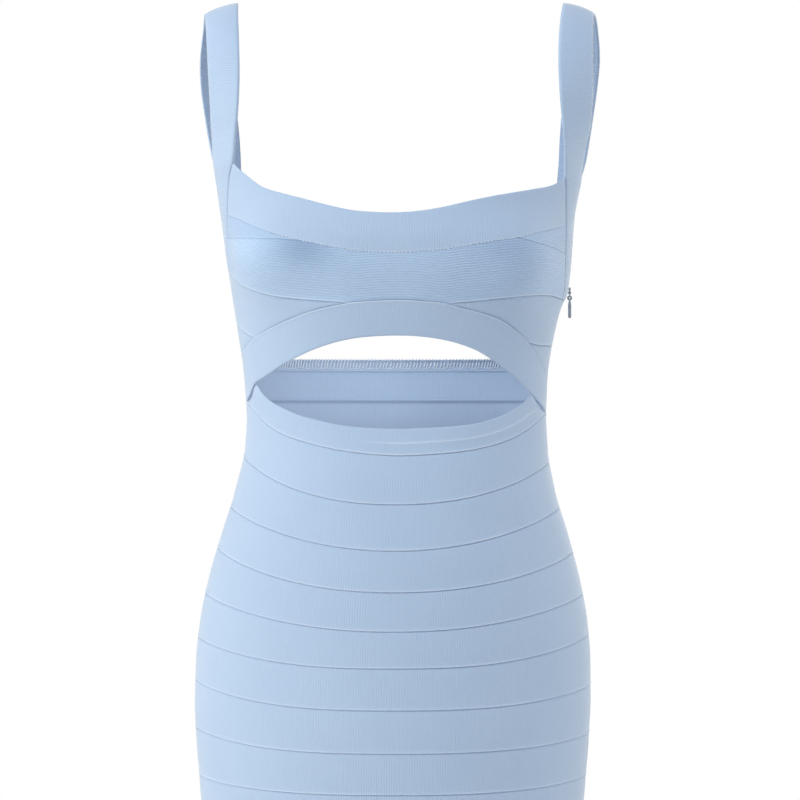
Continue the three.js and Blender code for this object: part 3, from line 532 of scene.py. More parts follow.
def cloth_mesh(name, points, across, along, wall=CLOTH, painted_light_and_shade=None):
    """Sheet through a grid of points in mm. across and along are the rib map's mm at each."""
    rows, columns = points.shape[:2]
    index = np.arange(rows * columns).reshape(rows, columns)
    quads = np.stack([index[:-1, :-1], index[1:, :-1], index[1:, 1:], index[:-1, 1:]], -1)
    mesh = mesh_of(name, points.reshape(-1, 3), quads.reshape(-1, 4).tolist())
    corner = np.empty(len(mesh.loops), int)
    mesh.loops.foreach_get("vertex_index", corner)
    rib_map = np.stack([across.ravel()[corner], along.ravel()[corner]], -1)
    mesh.uv_layers.new(name="ribs_mm").data.foreach_set("uv", rib_map.ravel().astype(np.float32))
    # Light and shade painted on the knit at each point, kept as an attribute
    if painted_light_and_shade is not None:
        line_map = mesh.attributes.new("painted_light_and_shade", "FLOAT", "POINT")
        line_map.data.foreach_set("value", painted_light_and_shade.ravel().astype(np.float32))
    piece = placed(name, mesh)
    thick = piece.modifiers.new("cloth", "SOLIDIFY")
    thick.thickness = wall * MM
    thick.offset = -1
    thick.use_rim = True
    return piece


print("wall of the cloth:", CLOTH, "mm")


# %% [markdown]
# ## The bandage knit
# The cloth is a heavy rib knit of viscose and nylon round an elastic core, steamed smooth. It is
# matt, with a soft sheen at grazing light from the fine viscose filaments. Its ribs are about
# 2 mm apart. Ribs could be modelled, but a hundred thousand of them would be as fine as the
# picture's own dots, so the shader draws them from the rib map, with the small loops along each
# rib and a slow drift in the dye; the ground between ribs gets a darker colour, painted shade.
# A point attribute paints a highlight on rolled edges and folds, and paints shade by the seams and
# over the bust. Three finishes share this: upright ribs, level ribs, and the rougher purl side
# that the straps show inside, in a darker colour that paints the shade falling there.

# %% Colours and nodes
def linear(hex_colour):
    """Linear RGBA of an sRGB hex colour."""
    parts = [int(hex_colour[k:k + 2], 16) / 255 for k in (0, 2, 4)]
    return [c / 12.92 if c <= 0.04045 else ((c + 0.055) / 1.055) ** 2.4 for c in parts] + [1]


def node(tree, kind, inputs=(), **settings):
    """Adds a node. Its inputs, by name or in order, get a value, an output or a node's first one."""
    made = tree.nodes.new("ShaderNode" + kind)
    for key, value in settings.items():
        setattr(made, key, value)
    for key, value in inputs.items() if isinstance(inputs, dict) else enumerate(inputs):
        if isinstance(value, bpy.types.Node):
            value = value.outputs[0]
        if isinstance(value, bpy.types.NodeSocket):
            tree.links.new(value, made.inputs[key])
        else:
            made.inputs[key].default_value = value
    return made


def new_material(name):
    """An empty material, its node tree and the place on the object that patterns start from."""
    made = bpy.data.materials.new(name)
    made.use_nodes = True
    made.node_tree.nodes.clear()
    return made, made.node_tree, node(made.node_tree, "TexCoord").outputs["Object"]


def blotch(size):
    """Scale of a noise whose blotches are about size mm across."""
    return 1 / (size * MM)


def bands(pitch):
    """Scale of a wave whose bands are pitch mm apart."""
    return 2 * math.pi / 20 / (pitch * MM)


print("middle grey is", round(linear("808080")[0], 3), "in linear light")

# %% Ribbed bandage knit
RIB_PITCH = 2.1
# Lean of the loops over a rib in radians, and their height beside that of the ribs
LOOP_LEAN, LOOP_HEIGHT = 1.6, 0.1
# How strongly the height, which paints shade between ribs, and the dye pick between the two
# colours, and the roughness of the fuzz
RIB_CONTRAST, DYE_CONTRAST, DYE_START = 2.2, 0.5, -0.1
FUZZ_ROUGH, LEAST_ROUGH = 0.12, 0.76
# Highlight painted on rolled edges and folds, then shade painted by seams and over the bust
KNIT_HIGHLIGHT, HIGHLIGHT_SHARE = "dbe8f6", 0.36
KNIT_PAINTED_SHADE, PAINTED_SHADE_SHARE = "6f88ad", 0.6


def knit_height(tree, place, loop_pitch, wander, patchy, fuzzy):
    """Height of the ribs and of the loops along them, about 0 to 1, and the fuzz on them.

    wander is how far the ribs sway in mm, patchy how unevenly they stand up, and fuzzy how much
    the fibres add.
    """
    rib_map = node(tree, "SeparateXYZ", [node(tree, "UVMap", uv_map="ribs_mm")]).outputs
    sway = node(tree, "TexNoise", {"Vector": place, "Scale": blotch(8), "Detail": 2.0})
    drift = node(tree, "Math", [sway, wander, rib_map["X"]], operation="MULTIPLY_ADD")
    turn = node(tree, "Math", [drift, 2 * math.pi / RIB_PITCH], operation="MULTIPLY")
    rib = node(tree, "Math", [turn], operation="SINE")
    patches = node(tree, "TexNoise", {"Vector": place, "Scale": blotch(18), "Detail": 2.0})
    pull = node(tree, "Math", [patches, 2 * patchy, 0.5 - patchy], operation="MULTIPLY_ADD")
    pull = node(tree, "Math", [pull, 0.0], operation="MAXIMUM")
    loops = node(tree, "Math", [rib_map["Y"], 2 * math.pi / loop_pitch], operation="MULTIPLY")
    slope = node(tree, "Math", [rib], operation="ABSOLUTE")
    slant = node(tree, "Math", [slope, LOOP_LEAN, loops], operation="MULTIPLY_ADD")
    loop = node(tree, "Math", [slant], operation="SINE")
    height = node(tree, "Math", [rib, pull, 0.5], operation="MULTIPLY_ADD")
    height = node(tree, "Math", [loop, LOOP_HEIGHT, height], operation="MULTIPLY_ADD")
    # Real fibres are far finer: the fuzz is drawn as coarse as it needs to show
    fuzz = node(tree, "TexNoise", {"Vector": place, "Scale": blotch(1.1), "Detail": 3.0})
    return node(tree, "Math", [fuzz, fuzzy, height], operation="MULTIPLY_ADD"), fuzz


def bandage_knit(name, colours, rib_depth, **ribs):
    """colours are a rib's and a darker ground's, painted shade between ribs. Depth and pitch are mm."""
    made, tree, place = new_material(name)
    height, fuzz = knit_height(tree, place, **ribs)
    dye = node(tree, "TexNoise", {"Vector": place, "Scale": blotch(70), "Detail": 3.0})
    tone = node(tree, "Math", [dye, DYE_CONTRAST, DYE_START], operation="MULTIPLY_ADD")
    # Low between ribs the darker ground colour shows, painted shade; the dye's drift is real tone
    depth = node(tree, "Math", [height, rib_depth * RIB_CONTRAST, tone], operation="MULTIPLY_ADD")
    colour = node(tree, "Mix", {"Factor": depth, 6: linear(colours[1]), 7: linear(colours[0])},
                  data_type="RGBA").outputs[2]
    # Painted light and shade at each point: above 0 a highlight, below 0 a shade
    painted_light_and_shade = node(tree, "Attribute", attribute_name="painted_light_and_shade").outputs["Fac"]
    for share, tint in ((HIGHLIGHT_SHARE, KNIT_HIGHLIGHT), (-PAINTED_SHADE_SHARE, KNIT_PAINTED_SHADE)):
        amount = node(tree, "Math", [painted_light_and_shade, share], operation="MULTIPLY")
        colour = node(tree, "Mix", {"Factor": amount, 6: colour, 7: linear(tint)},
                      data_type="RGBA").outputs[2]
    surface = node(tree, "BsdfPrincipled", {
        "Base Color": colour, "Sheen Weight": 0.5, "Sheen Roughness": 0.45, "IOR": 1.45,
        "Specular IOR Level": 0.25,
        "Roughness": node(tree, "Math", [fuzz, FUZZ_ROUGH, LEAST_ROUGH], operation="MULTIPLY_ADD"),
        "Normal": node(tree, "Bump", {"Height": height, "Strength": 1.0, "Distance": rib_depth * MM}),
    })
    node(tree, "OutputMaterial", [surface])
    return made


# Each finish: a rib colour and a darker ground colour, the ground's being painted shade
KNIT = bandage_knit("bandage_knit_upright_ribs", ("a8bed9", "9bb1ce"), 0.09,
                    loop_pitch=1.25, wander=0.5, patchy=0.6, fuzzy=0.3)
KNIT_LEVEL = bandage_knit("bandage_knit_level_ribs", ("a8c1df", "9bb4d5"), 0.24,
                          loop_pitch=2.2, wander=0.03, patchy=0.1, fuzzy=0.05)
# Purl side: deeper ribs, and a darker colour that paints the shade inside the straps
KNIT_REVERSE_SHADED = bandage_knit("bandage_knit_purl_side_painted_shade", ("a0b6d2", "8aa1c2"), 0.22,
                            loop_pitch=2.2, wander=0.05, patchy=0.1, fuzzy=0.1)
print("knit material nodes:", len(KNIT.node_tree.nodes))

# %% Dress a piece
dressed = []


def dress(piece, finish, slot, *nodes, body="dress"):
    """Gives a piece its finish, the body that it rides on and the nodes it replaces. slot is not used."""
    piece.data.materials.append(finish)
    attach(piece, body)
    if nodes:
        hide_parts(*nodes)
    dressed.append(piece)
    return piece


def strip(name, top, bottom, start, stop, edges, ribs="upright", **shape):
    """One strip of knit in place of the CAD node of the same name."""
    points, girth, below, above, painted_light_and_shade = strip_grid(top, bottom, start, stop, edges, **shape)
    across, along = {
        "upright": (girth, below), "level": (above, girth), "level_from_top": (below, girth),
    }[ribs]
    piece = cloth_mesh(name + "_cloth", points, across, along, painted_light_and_shade=painted_light_and_shade)
    dress(piece, KNIT if ribs == "upright" else KNIT_LEVEL, "bandage_knit", name)


print("finishes of the knit:", KNIT.name, KNIT_LEVEL.name, KNIT_REVERSE_SHADED.name)

# %% [markdown]
# ## The bodice
# The neck band runs under the straps' seams, and the bust strip below it has level ribs. Short
# wedges fill the room at the sides. The arch band crosses under the bust and its ends lap over
# the waist band: there its lower edge stands off and the waist band's upper edge sinks, which
# leaves the dark slit at each side of the cutout.

# %% Lap of the arch band over the waist band
LAP_LEFT, LAP_RIGHT, LAP_WIDTH = -72, 71, 8
# How far the arch band's edge stands off and the waist band's sinks, each with its reach in mm
ARCH_OFF, WAIST_IN = (1.1, 6), (1.6, 4)


def lap_share(around):
    return bell(around - LAP_LEFT, LAP_WIDTH) + bell(around - LAP_RIGHT, LAP_WIDTH)


def arch_lap(around, z, upper, lower):
    return ARCH_OFF[0] * lap_share(around) * bell(z - lower, ARCH_OFF[1])


def waist_lap(around, z, upper, lower):
    return -WAIST_IN[0] * lap_share(around) * bell(upper - z, WAIST_IN[1])


print("share of the lap at its left end:", round(float(lap_share(LAP_LEFT)), 2))

# %% Shade painted over the bust
# Of each side's painted shade: angle, half width in degrees and amount, then height and half height
BUST_SHADE_LEFT, BUST_SHADE_RIGHT = (-31, 10, 1), (34, 13, 0.58)
BUST_SHADE_HEIGHT, BUST_SHADE_TALL = -204, 19
# Share of painted shade laid evenly over the left and the right wedge
LEFT_WEDGE_SHADE, RIGHT_WEDGE_SHADE = 0.3, 0.12


def bust_painted_shade(around, z):
    """Shade painted over both sides of the bust, deeper on the left."""
    patches = (amount * bell(around - angle, wide) for angle, wide, amount in (BUST_SHADE_LEFT, BUST_SHADE_RIGHT))
    return sum(patches) * bell(z - BUST_SHADE_HEIGHT, BUST_SHADE_TALL)


# The same painted shade all over a strip
def even_painted_shade(share):
    return lambda around, z: share


# Prints the painted shade at the right of the bust
print("painted shade at the right of the bust:", round(float(bust_painted_shade(34, -204)), 2))

# %% Strips of the bodice
left_strap, right_strap = strap_seam(STRAP_FRONT_LEFT, -END_LAP), strap_seam(STRAP_FRONT_RIGHT, END_LAP)
left_side, right_side = side_seam(-90, HALF_GAP), side_seam(90, -HALF_GAP)
SEWN_SIDES = (SIDE, SIDE)
THIN_CROWN = 0.1

strip("neck_band", line["neckline"], line["neck_low"], left_strap, right_strap,
      (FREE, FLAT, HIDDEN, HIDDEN))
strip("wedge_left", line["neck_low"], line["bust_top"], left_strap, tip(-33.4),
      (SHALLOW, FLAT, HIDDEN, NO_EDGE), ribs="level_from_top", crown=THIN_CROWN, join=FAINT_SEAM_SHADE,
      opened=even_painted_shade(LEFT_WEDGE_SHADE))
strip("wedge_right", line["neck_low"], line["bust_top"], tip(39), right_strap,
      (SHALLOW, FLAT, NO_EDGE, HIDDEN), ribs="level_from_top", crown=THIN_CROWN, join=FAINT_SEAM_SHADE,
      opened=even_painted_shade(RIGHT_WEDGE_SHADE))
strip("bust_strip", line["bust_top"], line["bust_low"], left_strap, right_strap,
      (SHALLOW, ROLLED, HIDDEN, HIDDEN), ribs="level", under=([-20, -15, 15, 20], [0, 1, 1, 0]),
      opened=bust_painted_shade, join=STITCHED_SEAM_SHADE)
strip("side_left_upper", line["bust_low"], line["side_low"], left_side, tip(-17),
      (TUCKED, ROLLED, SIDE, NO_EDGE), under=([-62, -58], [0, 1]))
strip("side_left_lower", line["side_low"], line["arch_top"], left_side, tip(-60),
      (TUCKED, ROLLED, SIDE, NO_EDGE), crown=THIN_CROWN, under=([-60], [1]))
strip("side_right_upper", line["bust_low"], line["side_low"], tip(16.6), right_side,
      (TUCKED, ROLLED, NO_EDGE, SIDE), under=([52, 56], [1, 0]))
strip("side_right_lower", line["side_low"], line["arch_top"], tip(54), right_side,
      (TUCKED, ROLLED, NO_EDGE, SIDE), crown=THIN_CROWN, under=([54], [1]))
strip("arch_band", line["arch_top"], line["arch_low"], left_side, right_side,
      (ROLLED, FREE, *SEWN_SIDES), extra=arch_lap)
strip("waist_band", line["waist_top"], line["waist_low"], left_side, right_side,
      (FREE, ROLLED, *SEWN_SIDES), extra=waist_lap, fold=(0.55, -14, 68))
print("bodice strips:", len(dressed))

# %% [markdown]
# ## The skirt
# The strips of the skirt are made in the same way, from one seam line to the next. Each front
# strip meets the back strip of its row at the side seams.

# %% Strips of the skirt and back
seams = [skirt_line(row) for row in SKIRT_SEAMS]
front_lines = [line["waist_low"], *seams, level_line(HEM)]
for k, (upper, lower) in enumerate(zip(front_lines, front_lines[1:]), 1):
    last = FREE if k == len(front_lines) - 1 else ROLLED
    strip(f"skirt_front_{k:02d}", upper, lower, left_side, right_side, (TUCKED, last, *SEWN_SIDES),
          quiet=True)
back_lines = [level_line(BACK_EDGE), level_line(BACK_WAIST), *seams, level_line(HEM)]
for k, (upper, lower) in enumerate(zip(back_lines, back_lines[1:]), 1):
    first = FREE if k == 1 else TUCKED
    last = FREE if k == len(back_lines) - 1 else ROLLED
    strip(f"back_strip_{k:02d}", upper, lower, side_seam(90, -END_LAP), side_seam(270, END_LAP),
          (first, last, HIDDEN, HIDDEN), quiet=k > 2)
print("strips so far:", len(dressed))

# %% [markdown]
# ## Side backs
# Between each strap and side seam a small wing of cloth rises from the underarm to the strap.

# %% Wings of the back
WING_CREST = -174.5
WING_SIDE = 110
WING_CROWN = 0.15
# Angle, and share of the rise from the underarm to the crest
WING_EDGE = np.array([(90, 0), (94, 0.2), (98, 0.48), (101, 0.76), (103.4, 1)])


def wing_top(side, underarm):
    def height(around):
        rise = smooth(WING_EDGE[:, 0], WING_EDGE[:, 1], side * around)
        return underarm + (WING_CREST - underarm) * rise

    return height


def strap_edge(side):
    """Where a wing ends under its strap."""
    def angle(z):
        outer = smooth(STRAP_BACK[:, 0], STRAP_BACK[:, 2], z)
        return side * (outer + END_LAP / mm_per_degree(WING_SIDE, z))

    return angle


for name, side, underarm, ends in (
    ("back_wing_left", -1, -213, (strap_edge(-1), side_seam(-90, END_LAP))),
    ("back_wing_right", 1, -238, (side_seam(90, -END_LAP), strap_edge(1))),
):
    strip(name, wing_top(side, underarm), level_line(BACK_EDGE), *ends,
          (FREE, FREE, HIDDEN, HIDDEN), crown=WING_CROWN, under=([0], [1]))
print("pieces with the wings:", len(dressed))

# %% [markdown]
# ## Straps
# Each strap is one long strip, a little thicker and rounder than the rest. It starts at the
# underarm, lies on the bust, stands free over the shoulder and runs down the back. Its rows follow
# the form where it lies on it, and a table of its two edges where it is free. A smooth curve is
# drawn through all the rows. Its reverse has a finish of its own: the purl side of the knit, with
# deeper ribs, in a darker colour that paints the shade falling inside the straps.

# %% Rows of a strap
ACROSS = np.linspace(0, 1, 15)
# How far the back end laps under, how far a free strap bows across, and its closest rows, in mm
STRAP_LAP, STRAP_BOW, ROW_GAP = 1.8, 1.2, 3


def strap_rows(side, front_table, free_table):
    """Points across the strap at each height of its tables, and the way out of the cloth there."""
    foot = float(line["bust_low"](front_table[-1, 1]))
    rows, walls = [], []
    for z in [foot, *[h for h in front_table[::-1, 0] if h > foot + ROW_GAP]]:
        seam = smooth(front_table[:, 0], front_table[:, 1], z)
        armhole = np.interp(-z, -front_table[:, 0], front_table[:, 2])
        inset = HALF_GAP / mm_per_degree(seam, z)
        edge = armhole - side * (inset if abs(armhole) >= 90 else 0)
        angles = seam + side * inset + (edge - seam - side * inset) * ACROSS
        heights = line["bust_low"](angles) + HALF_GAP if z == foot else np.full(angles.shape, z)
        rows.append(form(angles, heights))
        walls.append(outward(angles, heights))
    for k, edges in enumerate(free_table):
        neck, arm = edges[:3], edges[3:]
        after, before = free_table[min(k + 1, len(free_table) - 1)], free_table[max(k - 1, 0)]
        out = unit(np.cross(after[:3] - before[:3], arm - neck)) * -side
        bow = STRAP_BOW * 4 * ACROSS * (1 - ACROSS)
        rows.append(neck + (arm - neck) * ACROSS[:, None] + out * bow[:, None])
        walls.append(np.repeat(out[None, :], len(ACROSS), axis=0))
    for z, inner, outer in [*STRAP_BACK, STRAP_BACK[-1] - (STRAP_LAP, 0, 0)]:
        outer = outer + HALF_GAP / mm_per_degree(WING_SIDE, z)
        angles = side * (inner + (outer - inner) * ACROSS)
        heights = np.full(angles.shape, z)
        rows.append(plain_form(angles, heights))
        walls.append(outward(angles, heights))
    return np.array(rows), np.array(walls)


print("rows of the left strap:", len(strap_rows(-1, STRAP_FRONT_LEFT, STRAP_FREE_LEFT)[0]))

# %% Straps
STRAP_CLOTH = 1.6
STRAP_STEP = 3.5
STRAP_CROWN = 0.3
# How far the back end sinks, and how many laps before the end that starts and is full
STRAP_SINK, SINK_START, SINK_FULL = 1.1, 2.4, 1.2


def drawn(way, rows, at):
    """Smooth curves through the rows, read at the distances at."""
    lines = [[smooth(way, rows[:, i, k], at) for k in range(3)] for i in range(len(ACROSS))]
    return np.array(lines).transpose(2, 0, 1)


def strap(name, side, front_table, free_table):
    """A strap whose back end sinks under the first strip of the back."""
    rows, walls = strap_rows(side, front_table, free_table)
    way = distances(rows[:, len(ACROSS) // 2])
    at = spread(way[-1], STRAP_STEP) * way[-1]
    points, wall = drawn(way, rows, at), unit(drawn(way, walls, at))
    run = distances(points, axis=1)
    lift = edge_lift(FREE, run) + edge_lift(FREE, run[:, -1:] - run)
    lift += STRAP_CROWN * np.sin(np.pi * ACROSS)
    end = np.clip(((at - way[-1]) / STRAP_LAP + SINK_START) / (SINK_START - SINK_FULL), 0, 1)
    points = points + wall * (lift - STRAP_SINK * end[:, None])[..., None]
    along = np.repeat(at[:, None], len(ACROSS), axis=1)
    if side > 0:
        points, along, run = points[::-1], along[::-1], run[::-1]
    piece = cloth_mesh(name + "_cloth", points, along, run, wall=STRAP_CLOTH)
    dress(piece, KNIT, "bandage_knit", name)
    # The inner faces take the purl finish, whose darker colour paints the shade inside the straps
    piece.data.materials.append(KNIT_REVERSE_SHADED)
    piece.modifiers["cloth"].material_offset = 1
    print(name, "is", round(way[-1]), "mm long")


strap("strap_left", -1, STRAP_FRONT_LEFT, STRAP_FREE_LEFT)
strap("strap_right", 1, STRAP_FRONT_RIGHT, STRAP_FREE_RIGHT)

# %% [markdown]
# ## The overlocked back edge
# Through the cutout the inside of the low back shows. Its edge is turned in and overlocked: short
# slanted threads run over the edge and down the inside, and one thread ties them below. Each
# stitch is a thin bent tube. A curve with a bevel would do too, but its points can't be laid on
# the form so simply.

# %% Thin tubes
def tube(points, radius, sides=5):
    """Vertices and faces of a closed tube through points in mm."""
    points = np.asarray(points, float)
    way = unit(np.gradient(points, axis=0))
    first = unit(np.cross(way, np.where(np.abs(way[:, 2:]) > 0.9, [[1, 0, 0]], [[0, 0, 1]])))
    second = np.cross(way, first)
    angle = (np.arange(sides) * 2 * math.pi / sides)[None, :, None]
    ring = first[:, None] * np.cos(angle) + second[:, None] * np.sin(angle)
    faces = [
        (j * sides + i, j * sides + (i + 1) % sides, (j + 1) * sides + (i + 1) % sides, (j + 1) * sides + i)
        for j in range(len(points) - 1) for i in range(sides)
    ]
    last = (len(points) - 1) * sides
    caps = [tuple(range(sides))[::-1], tuple(last + i for i in range(sides))]
    return (points[:, None] + ring * radius).reshape(-1, 3), faces + caps


def joined(name, parts):
    """One mesh piece from several lists of vertices (mm) and faces."""
    faces, count = [], 0
    for part, part_faces in parts:
        faces += [tuple(count + i for i in face) for face in part_faces]
        count += len(part)
    mesh = mesh_of(name, np.concatenate([part for part, _ in parts]), faces)
    work = bmesh.new()
    work.from_mesh(mesh)
    bmesh.ops.recalc_face_normals(work, faces=work.faces)
    work.to_mesh(mesh)
    work.free()
    return placed(name, mesh)


print("points in a short tube:", len(tube([(0, 0, 0), (0, 0, 1), (0, 0, 2)], 0.5)[0]))

# %% Thread
# Spun polyester: matt, with the slant of its twist showing as light flecks. The twist is finer on
# a real thread and is drawn as coarse as it needs to show.
thread_finish, tree, place = new_material("spun_polyester_thread")
twist = node(tree, "TexWave", {"Vector": place, "Scale": bands(0.75), "Distortion": 2.0},
             bands_direction="DIAGONAL").outputs["Fac"]
fleck = node(tree, "Mix", {"Factor": twist, 6: linear("bccfe6"), 7: linear("f2f7fc")}, data_type="RGBA")
node(tree, "OutputMaterial", [node(tree, "BsdfPrincipled", {
    "Base Color": fleck.outputs[2], "Roughness": 0.5, "Sheen Weight": 0.25, "IOR": 1.5,
    "Normal": node(tree, "Bump", {"Height": twist, "Strength": 0.6, "Distance": 0.1 * MM}),
})])
print("finish:", thread_finish.name)

# %% Overlock stitches on the inside of the back edge
STITCH_PITCH, STITCH_DEPTH, STITCH_LEAN = 2.7, 7.6, 1.15
THREAD, TIE_THREAD, TIE_DEEP, TIE_WAVE = 0.58, 0.3, 1.9, 0.2
SEEN_FROM, SEEN_TO = 118.0, 242.0
# Spread of the stitches' lean and place, in degrees round the form
LEAN_SPREAD, PLACE_SPREAD = 0.12, 0.05
# Of one stitch, in mm: height over the back edge and depth inside the form, then share of its lean
STITCH_RISE = np.array([-1.5, 0.1, 0.25, -0.9, -3.2, -5.6, -STITCH_DEPTH])
STITCH_IN = np.array([-0.2, 0.3, 1.5, 2.5, 2.8, 2.6, 2.1])
STITCH_SLANT = np.array([0, 0.05, 0.1, 0.2, 0.5, 0.8, 1.0])


def inside(around, z, deep):
    return form(around, z, -deep)


def stitch(around, lean):
    return tube(inside(around + lean * STITCH_SLANT, BACK_EDGE + STITCH_RISE, STITCH_IN), THREAD)


ring = plain_form(np.linspace(SEEN_FROM, SEEN_TO, 200), np.full(200, float(BACK_EDGE)))
back_length = distances(ring)[-1]
count = int(back_length / STITCH_PITCH)
angles = SEEN_FROM + (SEEN_TO - SEEN_FROM) * (np.arange(count) + 0.5) / count
rng = np.random.default_rng(7)
leans = STITCH_LEAN + rng.normal(0, LEAN_SPREAD, count)
stitches = [stitch(angle + rng.normal(0, PLACE_SPREAD), lean) for angle, lean in zip(angles, leans)]
run = np.linspace(SEEN_FROM, SEEN_TO, 160)
tie_height = BACK_EDGE - STITCH_DEPTH + TIE_WAVE * np.sin(run * 9)
stitches.append(tube(inside(run, tie_height, TIE_DEEP), TIE_THREAD))
overlock = dress(joined("back_edge_overlock", stitches), thread_finish, "bandage_knit")
print("overlock stitches:", count)

# %% Turned hem under the stitches
TURNED_CLOTH, TURNED_WIDTH, TURNED_GAP = 0.5, 10.8, 0.2
# Distance down from the edge, and depth inside the form, in mm
TURNED_DOWN = np.array([0.0, 0.6, 2, 4, 6, 7.6, 9, 10, 10.5])
TURNED_IN = np.array([1.3, 1.6, 1.7, 1.7, 1.7, 1.75, 1.85, 1.9, 1.6])

grid_angle, grid_down = np.meshgrid(np.linspace(SEEN_FROM, SEEN_TO, 120), TURNED_DOWN)
grid_run, grid_in = np.meshgrid(np.linspace(0, back_length, 120), TURNED_IN)
turned_points = inside(grid_angle, BACK_EDGE - TURNED_GAP - grid_down, grid_in)
turned = cloth_mesh("back_edge_turning", turned_points[::-1], grid_run, grid_down, wall=TURNED_CLOTH)
dress(turned, KNIT, "bandage_knit")
print("turned edge:", round(back_length), "mm long")

# %% [markdown]
# ## Linking stitches
# The neck band is linked to the strips under it with a pale thread, so that its seam shows as a
# row of short light stitches instead of a dark line.

# %% Linking stitches under the neck band
LINK_STEP, LINK_LENGTH, LINK_THREAD, LINK_OFF = 3.1, 2.0, 0.19, 0.32
LINKED_FROM, LINKED_TO = -44, 58
# Length left free at each end, and the spread of the stitches' height, in mm
FREE_START, FREE_END, LINK_SPREAD = 4, 6, 0.08
# Height over the seam and off the cloth at four points of a stitch, in mm
LINK_RISE = np.array([0.25, 0.1, -0.1, -0.25])
LINK_OUT = np.array([0.1, 0.45, 0.45, 0.1])

seam_angles = np.linspace(LINKED_FROM, LINKED_TO, 500)
seam_run = distances(form(seam_angles, line["neck_low"](seam_angles), LINK_OFF))
links = []
for start in np.arange(FREE_START, seam_run[-1] - FREE_END, LINK_STEP):
    at = np.interp(start + LINK_LENGTH * np.linspace(0, 1, 4), seam_run, seam_angles)
    height = line["neck_low"](at) + rng.normal(0, LINK_SPREAD) + LINK_RISE
    links.append(tube(form(at, height, LINK_OUT), LINK_THREAD, sides=4))
dress(joined("neck_band_linking", links), thread_finish, "bandage_knit")
print("linking stitches:", len(links))

# %% [markdown]
# ## The zip
# A slim coil zip lies under the left side seam, and only its slider and pull stand clear. The
# frame's own slider and pull have the right shape, so they are copied, their triangles are
# merged, and a small bevel takes the sharpness off the die-cast edges.

# %% Dark plated zinc
# Zinc, die cast, tumbled and plated: a soft grey shine with paler worn patches. The tumbled grain
# is finer on a real slider and is drawn as coarse as it needs to show.
metal_finish, tree, place = new_material("dark_plated_zinc_die_casting")
grain = node(tree, "TexNoise", {"Vector": place, "Scale": blotch(0.55), "Detail": 4.0})
worn = node(tree, "TexNoise", {"Vector": place, "Scale": blotch(4.5), "Detail": 3.0})
plating = node(tree, "Mix", {"Factor": worn, 6: linear("76818f"), 7: linear("a7b1bd")}, data_type="RGBA")
node(tree, "OutputMaterial", [node(tree, "BsdfPrincipled", {
    "Base Color": plating.outputs[2], "Metallic": 1.0,
    "Roughness": node(tree, "Math", [grain, 0.2, 0.26], operation="MULTIPLY_ADD"),
    "Normal": node(tree, "Bump", {"Height": grain, "Strength": 0.4, "Distance": 0.02 * MM}),
})])
print("finish:", metal_finish.name)

# %% Slider and pull
SAME_POINT = 0.004
FLAT_ANGLE, SHARP_ANGLE, SMOOTH_ANGLE = (math.radians(degrees) for degrees in (4, 50, 40))


def softened(node_name, name, body, bevel):
    """A copy of a node with flat faces and small bevelled edges, in mm."""
    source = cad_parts[node_name]
    bpy.ops.object.select_all(action="DESELECT")
    piece = placed(name, source.data.copy())
    piece.data.materials.clear()
    piece.data.transform(source.matrix_world)
    piece.select_set(True)
    bpy.context.view_layer.objects.active = piece
    bpy.ops.object.mode_set(mode="EDIT")
    bpy.ops.mesh.select_all(action="SELECT")
    bpy.ops.mesh.remove_doubles(threshold=SAME_POINT * MM)
    bpy.ops.mesh.dissolve_limited(angle_limit=FLAT_ANGLE)
    bpy.ops.object.mode_set(mode="OBJECT")
    edge = piece.modifiers.new("edge", "BEVEL")
    edge.width, edge.segments, edge.limit_method = bevel * MM, 2, "ANGLE"
    edge.angle_limit = SHARP_ANGLE
    bpy.ops.object.modifier_apply(modifier="edge")
    bpy.ops.object.shade_smooth_by_angle(angle=SMOOTH_ANGLE)
    print(name, "has", len(piece.data.polygons), "faces")
    dress(piece, metal_finish, "zip_metal", node_name, body=body)


softened("zip_slider", "zip_slider_plated", "dress", 0.12)
softened("zip_pull", "zip_pull_plated", "pull", 0.16)

# %% Woven tape and nylon
# Woven polyester is matt with a small even check of threads, and moulded nylon has a narrow gloss.
# The tape's threads are finer than 0.65 mm and are drawn as coarse as they need to show.
tape_finish, tree, place = new_material("woven_polyester_zip_tape")
warp, weft = (
    node(tree, "TexWave", {"Vector": place, "Scale": bands(0.65)}, bands_direction=way).outputs["Fac"]
    for way in "YZ"
)
weave = node(tree, "Math", [warp, weft], operation="MULTIPLY")
yarn = node(tree, "Mix", {"Factor": weave, 6: linear("7388a4"), 7: linear("9db3cf")}, data_type="RGBA")
node(tree, "OutputMaterial", [node(tree, "BsdfPrincipled", {
    "Base Color": yarn.outputs[2], "Roughness": 0.78, "Sheen Weight": 0.15,
    "Normal": node(tree, "Bump", {"Height": weave, "Strength": 0.7, "Distance": 0.15 * MM}),
})])
coil_finish, tree, place = new_material("nylon_zip_coil")
mould = node(tree, "TexNoise", {"Vector": place, "Scale": blotch(1.4), "Detail": 2.0})
node(tree, "OutputMaterial", [node(tree, "BsdfPrincipled", {
    "Base Color": linear("8ea4c2"), "IOR": 1.53,
    "Roughness": node(tree, "Math", [mould, 0.2, 0.3], operation="MULTIPLY_ADD"),
})])
print("finishes:", tape_finish.name, "and", coil_finish.name)

# %% Zip tape
ZIP_SIDE = 90
ZIP_TOP, ZIP_END = -241, -520
TAPE_CLOTH, TAPE_WIDTH, TAPE_HALF, TAPE_DEEP = 0.8, 10, 3, 3.4

